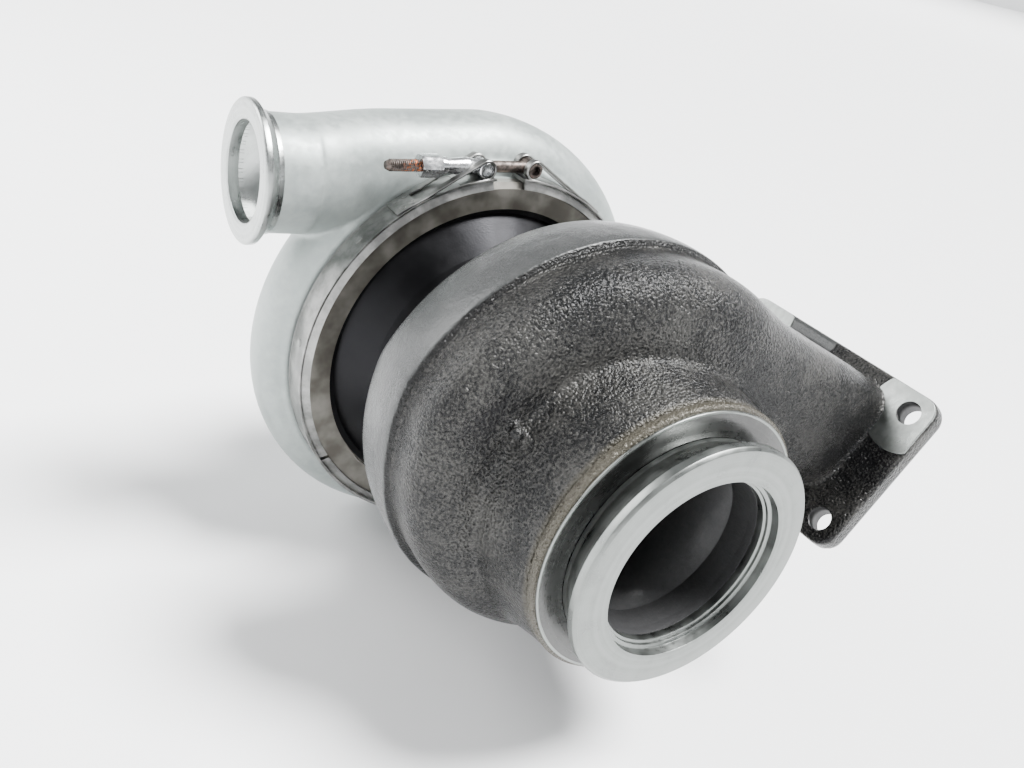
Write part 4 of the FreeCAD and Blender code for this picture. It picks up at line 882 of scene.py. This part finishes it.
def compressor_casting():
    """Scroll, outlet tube and inlet as one casting, with its turned flanges."""
    core = plug("core", [
        (0.01, 232), (112, 232), (112, 241), (120.5, 241), (122.6, 243.4), (122.9, 250), (100, 274),
        (80, 292),
        (66, 299), (58, 303), (57, 308), (57, 330), (0.01, 330)], steps=180)
    scroll = loft("scroll", [compressor_ring(4.0 * step) for step in range(86)])
    tube = loft("tube", [outlet_ring(step / 24) for step in range(25)])
    neck = plug("neck", [(0.01, 7), (32.9, 7), (33.2, 34), (0.01, 34)], OUTLET_CENTRE, (1, 0, 0),
                96)
    body = merged("compressor_casting", [core, scroll, tube, neck])
    weld(body, 1.5, 16, lambda point: 1.0 if point.y > 246 else 0.15)
    body.data.materials.append(MATERIALS["compressor_cast_aluminium"])
    channel = loft("channel", [compressor_ring(10.0 * step, 5.5) for step in range(35)],
                   material=MATERIALS["compressor_cast_aluminium"])
    bore = loft("bore", [outlet_ring(step / 12, 5.5) for step in range(13)],
                material=MATERIALS["compressor_cast_aluminium"])
    mouth = plug("mouth", [
        (0.01, 229), (104.2, 229), (104.2, 236), (104, 242), (51.4, 242), (45.4, 244.6),
        (40.8, 248.4),
        (38.6, 254), (37.4, 264), (37.4, 277), (50.5, 307), (50.5, 347), (0.01, 347)],
        material=TURNED_ALUMINIUM)
    pipe = plug("pipe", [(0.01, -1), (27.8, -1), (27.8, 44.3), (0.01, 44.3)], OUTLET_CENTRE,
                (1, 0, 0), 96,
                TURNED_ALUMINIUM)
    cut(body, mouth, channel, bore, pipe)
    finished(body, "housing", "compressor_cast_aluminium", "compressor_housing")
    flange = lathe("compressor_band_flange", [
        (104.3, 230), (116, 230), (116, 234), (112.4, 236), (109, 236), (109, 241.5),
        (104.3, 241.5)], 0.3,
        material=TURNED_ALUMINIUM)
    finished(flange, "housing", "compressor_cast_aluminium")
    rim = lathe("outlet_band_rim", [
        (27.8, 0.8), (29.4, 0.0), (38.5, 0.0), (39.5, 1.0), (39.5, 4.0), (33.6, 9.2), (33.6, 12.0),
        (30, 12.0),
        (27.8, 10)], 0.3, 160, OUTLET_CENTRE, (1, 0, 0), OUTLET_ALUMINIUM)
    finished(rim, "housing", "compressor_cast_aluminium")
    inlet = lathe("inlet_tube", [
        (50.5, 346), (50.5, 318), (56, 318), (57, 322), (57, 337), (58.6, 338.5), (58.6, 342.5),
        (57, 344),
        (57, 346)], 0.4, material=TURNED_ALUMINIUM)
    finished(inlet, "housing", "compressor_cast_aluminium")


compressor_casting()


# ---------------------------------------------------------------- band clamp

BAND_INNER = 117.8
BAND_OUTER = 119.0
BAND_FRONT = 220.5
BAND_WIDTH = 17.5
BAND_GAP_ANGLE = 92.5
BAND_GAP = 19.6
LOOP = 6.2
PLY = 1.2
PLY_WIDTH = 4.7
BOLT = 3.5
BAND_MIDDLE = BAND_FRONT + BAND_WIDTH / 2
SEAT_RADIUS = BAND_OUTER + LOOP - PLY / 2
SEAT_ANGLE = math.degrees((BAND_GAP / 2 + LOOP) / BAND_OUTER)
PULL = polar(1.0, BAND_GAP_ANGLE + 90)


def strip(name, path, low, high, thickness, material):
    """A flat strip of metal bent along a path across the axis, between two stations."""
    soft = min(0.35, thickness / 3)
    rings = []
    for index, place in enumerate(path):
        ahead = path[min(index + 1, len(path) - 1)] - path[max(index - 1, 0)]
        lift = ahead.normalized().cross(AXIS) * (thickness / 2)
        flat = (thickness / 2 - soft) / (thickness / 2)
        rings.append([place + AXIS * station + lift * level for station, level in (
            (low, -flat), (low + soft, -1), (high - soft, -1), (high, -flat),
            (high, flat), (high - soft, 1), (low + soft, 1), (low, flat))])
    return crease(loft(name, rings, material=material), 40)


def band_arc(radius, start, end, step=2.0):
    """Points along an arc about the axis."""
    count = max(2, int(abs(end - start) / step))
    return [polar(radius, start + (end - start) * index / count) for index in range(count + 1)]


def ply_path(side):
    """One end of the band, folded back over its pin and down onto the band again."""
    seat = BAND_GAP_ANGLE + side * SEAT_ANGLE
    pin = polar(SEAT_RADIUS, seat)
    path = band_arc(BAND_OUTER + PLY / 2 + 0.1, seat + side * 23, seat + side * 19, 0.5)
    middle = LOOP - PLY / 2
    turns = [20 - 200 * step / 28 for step in range(29)]
    path += [pin + polar(middle, seat + side * turn) for turn in turns]
    return path + band_arc(BAND_OUTER - PLY / 2 + 0.2, seat + side * 3.5, seat + side * 8, 0.75)


def band_strap():
    """The band with rolled edges, its folded loops and its tails."""
    steel = MATERIALS["strap_stainless"]
    half_gap = math.degrees(BAND_GAP / 2 / BAND_OUTER)
    start, end = BAND_GAP_ANGLE + half_gap, BAND_GAP_ANGLE - half_gap + 360
    middle = (BAND_INNER + BAND_OUTER) / 2
    rear = BAND_FRONT + BAND_WIDTH
    pieces = [strip("band", band_arc(middle, start, end, 1.5), BAND_FRONT, rear, PLY, steel)]
    for side in (-1, 1):
        seat = BAND_GAP_ANGLE + side * SEAT_ANGLE
        tail = band_arc(BAND_OUTER + PLY / 2 + 0.1, seat + side * 28, seat + side * 21.5, 0.5)
        pieces.append(strip("tail", tail, BAND_FRONT + 0.4, rear - 0.4, PLY, steel))
        for low in (BAND_FRONT, rear - PLY_WIDTH):
            pieces.append(strip("ply", ply_path(side), low, low + PLY_WIDTH, PLY, steel))
    for station in (BAND_FRONT, rear):
        outline = [(BAND_INNER + 0.1, station - 0.45), (BAND_OUTER + 0.25, station - 0.45),
                   (BAND_OUTER + 0.25, station + 0.45), (BAND_INNER + 0.1, station + 0.45)]
        ring = [[polar(0, 0, along) + polar(reach, angle) for reach, along in rounded(outline, 0.3)]
                for angle in [start + (end - start) * step / 220 for step in range(221)]]
        pieces.append(crease(loft("edge", ring, material=steel)))
    finished(merged("clamp_strap_folded", pieces), "housing", "strap_stainless", "clamp_strap")


def ring_tree():
    """A node tree that repeats a piece round the turning axis."""
    tree = bpy.data.node_groups.new("ring_of_pieces", "GeometryNodeTree")
    tree.interface.new_socket("Piece", in_out="INPUT", socket_type="NodeSocketGeometry")
    sockets = {}
    for label, kind in (("Count", "NodeSocketInt"), ("First angle", "NodeSocketFloat"),
                        ("Spacing", "NodeSocketFloat"), ("Finish", "NodeSocketMaterial")):
        sockets[label] = tree.interface.new_socket(label, in_out="INPUT",
                                                   socket_type=kind).identifier
    tree.interface.new_socket("Pieces", in_out="OUTPUT", socket_type="NodeSocketGeometry")
    add = tree.nodes.new
    link = tree.links.new
    start, end = add("NodeGroupInput"), add("NodeGroupOutput")
    line = add("GeometryNodeMeshLine")
    line.inputs["Offset"].default_value = (0, 0, 0)
    link(start.outputs["Count"], line.inputs["Count"])
    index = add("GeometryNodeInputIndex")
    turn = add("ShaderNodeMath")
    turn.operation = "MULTIPLY_ADD"
    link(index.outputs[0], turn.inputs[0])
    link(start.outputs["Spacing"], turn.inputs[1])
    link(start.outputs["First angle"], turn.inputs[2])
    radians = add("ShaderNodeMath")
    radians.operation = "MULTIPLY"
    radians.inputs[1].default_value = -math.pi / 180
    link(turn.outputs[0], radians.inputs[0])
    euler = add("ShaderNodeCombineXYZ")
    link(radians.outputs[0], euler.inputs["Y"])
    place = add("GeometryNodeInstanceOnPoints")
    link(line.outputs[0], place.inputs["Points"])
    link(start.outputs["Piece"], place.inputs["Instance"])
    link(euler.outputs[0], place.inputs["Rotation"])
    real = add("GeometryNodeRealizeInstances")
    link(place.outputs[0], real.inputs[0])
    finish = add("GeometryNodeSetMaterial")
    link(real.outputs[0], finish.inputs["Geometry"])
    link(start.outputs["Finish"], finish.inputs["Material"])
    link(finish.outputs[0], end.inputs[0])
    return tree, sockets


RING_TREE, RING_SOCKETS = ring_tree()


def repeated(piece, count, first, spacing, material):
    """Repeats a piece round the axis, from its place at angle 0."""
    ring = piece.modifiers.new("ring", "NODES")
    ring.node_group = RING_TREE
    for label, value in (("Count", count), ("First angle", float(first)),
                         ("Spacing", float(spacing)),
                         ("Finish", material)):
        ring[RING_SOCKETS[label]] = value
    return bake(piece)


def spot_weld(name, station, across=2.6, along=2.6):
    """A shallow ring pressed into the band, at angle 0."""
    profile = ((1.0, -0.1), (1.0, 0.16), (0.86, 0.26), (0.66, 0.22), (0.5, 0.06), (0.2, 0.02))
    rings = []
    for reach, level in profile:
        ring = []
        for step in range(24):
            turn = 2 * math.pi * step / 24
            ring.append(Vector((BAND_OUTER + level, station + across * reach * math.sin(turn),
                                along * reach * math.cos(turn))))
        rings.append(ring)
    return crease(loft(name, rings, material=MATERIALS["strap_stainless"]), 50)


def band_welds():
    """Spot welds round the band, and two rows where each folded tail is welded down."""
    steel = MATERIALS["strap_stainless"]
    finished(repeated(spot_weld("band_spot_welds", BAND_MIDDLE), 8,
                      BAND_GAP_ANGLE + SEAT_ANGLE + 40, 34.0, steel),
             "housing", "strap_stainless")
    for side, label in ((-1, "right"), (1, "left")):
        for row, station in enumerate((BAND_FRONT + 4.2, BAND_FRONT + BAND_WIDTH - 4.2)):
            weld_ring = spot_weld("%s_tail_welds_%d" % (label, row), station, 1.9, 2.5)
            for vertex in weld_ring.data.vertices:
                vertex.co.x += (PLY + 0.1) * MM
            finished(repeated(weld_ring, 2, BAND_GAP_ANGLE + side * (SEAT_ANGLE + 22.6), side * 3.0,
                              steel),
                     "housing", "strap_stainless")


def hexagon(angle):
    """Reach of a hexagon's side in one direction, as a share of its corner's."""
    return math.cos(math.radians(30)) / math.cos((angle % math.radians(60)) - math.radians(30))


def thread_outline(start, end, crest, pitch=1.25, depth=0.62):
    """Corners of a threaded length, from one station to a later one."""
    corners = []
    station = start
    while station + pitch <= end:
        corners += [(crest - depth, station), (crest, station + pitch * 0.42),
                    (crest, station + pitch * 0.58)]
        station += pitch
    return corners


def clamp_hardware():
    """The T-bolt, its cross pins, the sleeve and the nut."""
    right = polar(SEAT_RADIUS, BAND_GAP_ANGLE - SEAT_ANGLE, BAND_MIDDLE)
    left = polar(SEAT_RADIUS, BAND_GAP_ANGLE + SEAT_ANGLE, BAND_MIDDLE)
    pin = LOOP - PLY - 0.25
    half = 8.4
    hollow = [(0.01, -half + 3), (2.7, -half + 3), (3.0, -half), (pin - 0.5, -half),
              (pin, -half + 0.5),
              (pin, half - 0.5), (pin - 0.5, half), (3.0, half), (2.7, half - 3), (0.01, half - 3)]
    rust = MATERIALS["t_bolt_steel"]
    shank = plug("shank", [(0.01, 0), (BOLT, 0), (BOLT, 52)] + thread_outline(52, 92, BOLT)
                 + [(BOLT - 0.6, 92.6), (BOLT - 1.2, 94), (0.01, 94)], right, PULL, 40, rust)
    finished(merged("clamp_t_bolt_threaded", [plug("head", hollow, right, AXIS, 48, rust), shank]),
             "housing",
             "t_bolt_steel", "clamp_t_bolt")
    zinc = MATERIALS["zinc_plated_steel"]
    near_end, far_end = LOOP + 1.0, LOOP + 21.0
    sleeve = lathe("sleeve", [
        (BOLT + 0.15, 2.0), (BOLT + 0.5, 2.0), (5.2, near_end + 2), (5.2, near_end + 4),
        (4.3, far_end - 5.2),
        (4.1, far_end - 4.2), (5.2, far_end - 3.6), (5.2, far_end - 0.4), (4.8, far_end),
        (BOLT + 0.15, far_end)],
        0.25, 64, left, PULL, zinc)
    finished(merged("clamp_trunnion_sleeve", [plug("cross", hollow, left, AXIS, 48, zinc), sleeve]),
             "housing",
             "zinc_plated_steel", "clamp_trunnion")
    outward = polar(1.0, BAND_GAP_ANGLE)
    rings = []
    for depth, level in ((0.0, 0.90), (1.0, 1.0), (12.0, 1.0), (13.0, 0.90)):
        ring = []
        for step in range(72):
            angle = math.radians(5 * step)
            reach = 7.0 * min(hexagon(angle), level)
            ring.append(left + PULL * (far_end + depth) + AXIS * (math.cos(angle) * reach)
                        + outward * (math.sin(angle) * reach))
        rings.append(ring)
    nut = crease(loft("nut", rings, material=zinc))
    finished(merged("clamp_nut_chamfered", [nut]), "housing", "zinc_plated_steel", "clamp_nut")


def screw_ring(name, node, circle, seat, side, count, first, spacing):
    """Flanged hexagon screws on a circle, their heads on a seat face, replacing the plain ones."""
    rings = []
    for depth, reach, cut_off in ((-0.4, 0.0, 0), (-0.4, 6.6, 0), (0.9, 6.6, 0), (1.3, 6.0, 0),
                                  (1.3, 6.0, 1),
                                  (4.9, 6.0, 1), (5.5, 5.2, 1), (5.5, 3.4, 0), (5.1, 3.0, 0),
                                  (5.1, 0.02, 0)):
        ring = []
        for step in range(36):
            angle = math.radians(10 * step)
            radius = max(reach, 0.02) * (hexagon(angle) if cut_off else 1.0)
            ring.append(Vector((circle + radius * math.cos(angle), seat + side * depth,
                                radius * math.sin(angle))))
        rings.append(ring)
    screw = crease(loft(name, rings), 35)
    finished(repeated(screw, count, first, spacing, MATERIALS["bolt_steel"]), "housing",
             "bolt_steel", node)


band_strap()
band_welds()
clamp_hardware()
screw_ring("turbine_clamp_screws", "turbine_clamp_bolts", 80.0, 152.0, 1, 6, 30.0, 60.0)
screw_ring("backplate_screws", "backplate_bolts", 58.0, 197.0, -1, 6, 0.0, 60.0)


# ---------------------------------------------------------------- scene

def floor_and_lights():
    """A wide pale floor with a far curved edge, a soft sun and two lamps."""
    low = CAD_BOX[0].z - 0.0005
    floor = lathe("floor",
                  [(0.01, low / MM), (16000, low / MM), (19000, 300), (20000, 6000), (20010, 6000),
                            (20010, low / MM - 10), (0.01, low / MM - 10)], 0, 96, axis=(0, 0, 1))
    paint = Paint("pale_floor")
    paper = paint.noise(60.0, 2.0)
    floor.data.materials.append(paint.shade(color=paint.blend(paper, (0.86, 0.865, 0.87),
                                                              (0.88, 0.885, 0.89)), rough=0.7))
    world = bpy.data.worlds.new("studio")
    world.use_nodes = True
    world.node_tree.nodes["Background"].inputs["Color"].default_value = (0.93, 0.95, 0.97, 1)
    world.node_tree.nodes["Background"].inputs["Strength"].default_value = 0.55
    bpy.context.scene.world = world
    sun = bpy.data.lights.new("key", "SUN")
    sun.energy = 15.0
    sun.angle = math.radians(24)
    key = bpy.data.objects.new("key", sun)
    key.rotation_euler = Vector((0.40, -0.24, 0.88)).to_track_quat("Z", "Y").to_euler()
    bpy.context.scene.collection.objects.link(key)
    target = Vector((0.0, 0.12, 0.0))
    for name, place, side, power in (("left", (-1.15, 1.15, 1.05), 1.0, 34.0),
                                     ("front", (-0.3, -1.7, 1.0), 0.8, 2.0)):
        lamp = bpy.data.lights.new(name, "AREA")
        lamp.shape = "RECTANGLE"
        lamp.size = lamp.size_y = side
        lamp.energy = power
        light = bpy.data.objects.new(name, lamp)
        light.location = place
        light.rotation_euler = (target - Vector(place)).to_track_quat("-Z", "Y").to_euler()
        bpy.context.scene.collection.objects.link(light)


CAMERA_PLACE = (-0.32411, -0.25024, 0.26736)
CAMERA_HEADING = 37.0715
CAMERA_DIP = 26.0916
CAMERA_ROLL = 13.9166


def add_camera():
    """The camera, by its heading from +Y towards +X, its dip below level and its roll."""
    lens = bpy.data.cameras.new("camera")
    lens.lens = 34.55
    lens.sensor_width = 36.0
    lens.clip_start, lens.clip_end = 0.01, 200.0
    camera = bpy.data.objects.new("camera", lens)
    heading, dip, roll = (math.radians(turn) for turn in (CAMERA_HEADING, CAMERA_DIP, CAMERA_ROLL))
    ahead = Vector((math.sin(heading) * math.cos(dip), math.cos(heading) * math.cos(dip),
                    -math.sin(dip)))
    level = Vector((ahead.y, -ahead.x, 0.0)).normalized()
    right = level * math.cos(roll) + level.cross(ahead) * math.sin(roll)
    turn = Matrix((right, right.cross(ahead), -ahead)).transposed().to_4x4()
    camera.matrix_world = Matrix.Translation(CAMERA_PLACE) @ turn
    bpy.context.scene.collection.objects.link(camera)
    bpy.context.scene.camera = camera


floor_and_lights()
add_camera()
